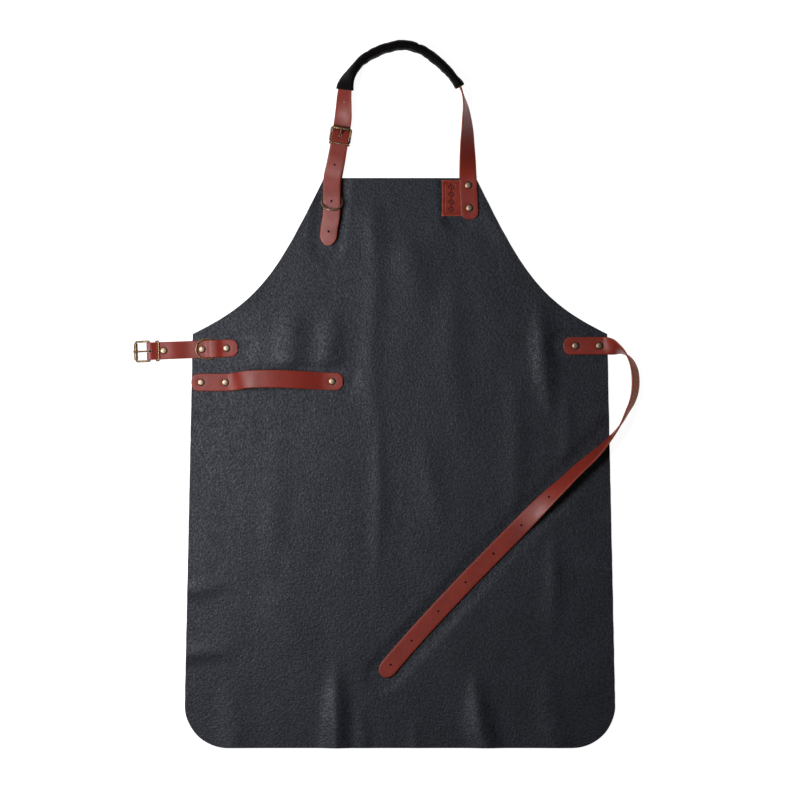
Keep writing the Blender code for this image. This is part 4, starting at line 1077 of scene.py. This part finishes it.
for side, tab, run in (("waist", waist_tab, WAIST_TONGUE), ("neck", neck_tab, NECK_TONGUE)):
    leaning = tab.place @ tab.lean
    corners = (FRAME_NEAR_CORNER, FRAME_FAR_CORNER)
    buckle = wire_loop(side + "_buckle_frame", FRAME_LENGTH, FRAME_HALF, *corners, FRAME_WIRE)
    mark_rubbed(buckle, lambda point: 0.15 + 0.35 * ease(point.z, 0.0002, 0.0012))
    finish_brass(buckle, leaning, side + "_buckle", side + "_tab_buckle_frame")

    roller = fresh(
        bpy.ops.mesh.primitive_cylinder_add, vertices=40, radius=ROLLER_RADIUS, depth=ROLLER_LENGTH,
        end_fill_type="NOTHING", rotation=(math.pi / 2, 0.0, 0.0),
    )
    bpy.ops.object.transform_apply(location=False, rotation=True, scale=False)
    roller.name = side + "_buckle_roller"
    apply_modifier(roller, "SOLIDIFY", thickness=ROLLER_WALL, offset=-1.0)
    apply_modifier(roller, "BEVEL", width=0.0004, segments=3, limit_method="ANGLE")
    mark_rubbed(roller, lambda point: 0.55 if abs(point.y) < 0.0112 else 0.3)
    far_bar = leaning @ Matrix.Translation((FRAME_LENGTH, 0.0, 0.0))
    finish_brass(roller, far_bar, side + "_roller", side + "_tab_buckle_roller")

    eye = FRAME_WIRE / 2 + 0.0002 + TONGUE_WIRE / 2
    tongue = fresh(bpy.ops.mesh.primitive_circle_add, vertices=36, radius=eye)
    tongue.name = side + "_buckle_tongue"
    bpy.ops.object.mode_set(mode="EDIT")
    bpy.ops.mesh.select_mode(type="VERT")
    bpy.ops.mesh.select_all(action="DESELECT")
    bpy.ops.object.mode_set(mode="OBJECT")
    # the open part of the eye faces the roller, so the bend behind the heel bar stays
    for vertex in tongue.data.vertices:
        vertex.select = turn_of(vertex) > 334 or turn_of(vertex) < 89
    bpy.ops.object.mode_set(mode="EDIT")
    bpy.ops.mesh.delete(type="VERT")
    bpy.ops.object.mode_set(mode="OBJECT")
    end = min(tongue.data.vertices, key=lambda vertex: abs(turn_of(vertex) - 90))
    end.select = True
    reach = end.co.copy()
    bpy.ops.object.mode_set(mode="EDIT")
    for x, z in run:
        step_by = Vector((x, z, 0.0)) - reach
        bpy.ops.mesh.extrude_vertices_move(TRANSFORM_OT_translate={"value": step_by})
        reach += step_by
    bpy.ops.object.mode_set(mode="OBJECT")
    tongue = make_wire(tongue, TONGUE_WIRE, capped=True)
    upright = Matrix.Rotation(math.pi / 2, 4, "X")
    mark_rubbed(tongue, lambda point: 0.30)
    finish_brass(tongue, leaning @ upright, side + "_tongue", side + "_tab_buckle_tongue")

KEEPER_HALF, KEEPER_CORNER, KEEPER_WIRE = 0.0137, 0.0018, 0.0021
# each keeper's bottom and crown, as (distance from the heel bar, height over the table)
for side, tab, bottom, crown in (
    ("waist", waist_tab, (0.0088, 0.0010), (0.0131, 0.0097)),
    ("neck", neck_tab, (0.0032, 0.0028), (0.0026, 0.0169)),
):
    low, high = tab.point(*bottom), tab.point(*crown)
    rise = high - low
    corners = (KEEPER_CORNER, KEEPER_CORNER)
    loop = wire_loop(side + "_keeper_loop", rise.length, KEEPER_HALF, *corners, KEEPER_WIRE)
    upward = rise.normalized()
    stand = Matrix((upward, tab.across, upward.cross(tab.across))).transposed().to_4x4()
    mark_rubbed(loop, lambda point: 0.75)
    finish_brass(loop, Matrix.Translation(low) @ stand, side + "_keeper", side + "_tab_keeper")

RING_LENGTH, RING_HALF, RING_WIRE = 0.0245, 0.0140, 0.0024
RING_NEAR_CORNER, RING_FAR_CORNER = 0.0048, 0.0138
ring_bar = HIDE_THICKNESS + 0.0003 + HEEL_WIRE / 2
for side, bar, heading, tilt in (
    ("waist", waist_tab.point(waist_ring_at, ring_bar), 182.2, 9.0),
    ("neck", Vector((-0.0946, 0.3705, ring_bar)), -91.0, 41.0),
):
    corners = (RING_NEAR_CORNER, RING_FAR_CORNER)
    ring = wire_loop(side + "_ring_wire", RING_LENGTH, RING_HALF, *corners, RING_WIRE)
    lying = Matrix.Translation(bar) @ Matrix.Rotation(math.radians(heading), 4, "Z")
    lying = lying @ Matrix.Rotation(-math.radians(tilt), 4, "Y")
    mark_rubbed(ring, lambda point: 0.75)
    finish_brass(ring, lying, side + "_ring", side + "_d_ring")


# ---- Rivets ------------------------------------------------------------------------------------------
# Thirteen double-cap rivets. A cap is a low dome rubbed bright on its crown, and its back is a flat
# disc sunk in the flesh side. The CAD back keeps its tube.

RIVET_RADIUS, RIVET_RISE, RIVET_RIM = 0.0050, 0.0014, 0.0004
dome = fresh(bpy.ops.mesh.primitive_uv_sphere_add, segments=40, ring_count=24, radius=RIVET_RADIUS)
bpy.ops.object.mode_set(mode="EDIT")
bpy.ops.mesh.select_all(action="SELECT")
bpy.ops.transform.resize(value=(1.0, 1.0, RIVET_RISE / RIVET_RADIUS))
bpy.ops.mesh.bisect(plane_co=(0.0, 0.0, 0.0), plane_no=(0.0, 0.0, 1.0), clear_inner=True, use_fill=True)
bpy.ops.mesh.select_all(action="SELECT")
bpy.ops.mesh.normals_make_consistent(inside=False)
bpy.ops.object.mode_set(mode="OBJECT")
for vertex in dome.data.vertices:
    vertex.co.z += RIVET_RIM if vertex.co.z > 1e-5 else 0.0
mark_rubbed(dome, lambda point: 0.05 + 0.85 * (1 - ease(point.xy.length, 0.0034, 0.0049)))

every_rivet = list(RIVET_SPOTS) + ["waist_tab_fold_rivet", "neck_tab_fold_rivet"]
for name in every_rivet:
    low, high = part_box(name + "_cap")
    cap = dome.copy()
    cap.data = dome.data.copy()
    bpy.context.scene.collection.objects.link(cap)
    cap.name = cap.data.name = name + "_dome"
    foot = high[2] - RIVET_RISE - RIVET_RIM
    spot = Matrix.Translation(((low[0] + high[0]) / 2, (low[1] + high[1]) / 2, foot))
    body = {"waist_tab_fold_rivet": "waist_tab_end", "neck_tab_fold_rivet": "neck_loop"}.get(name, "apron")
    finish_brass(cap, spot, body, name + "_cap")
    wear(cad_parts[name + "_back"], antique_brass)
bpy.data.objects.remove(dome, do_unlink=True)
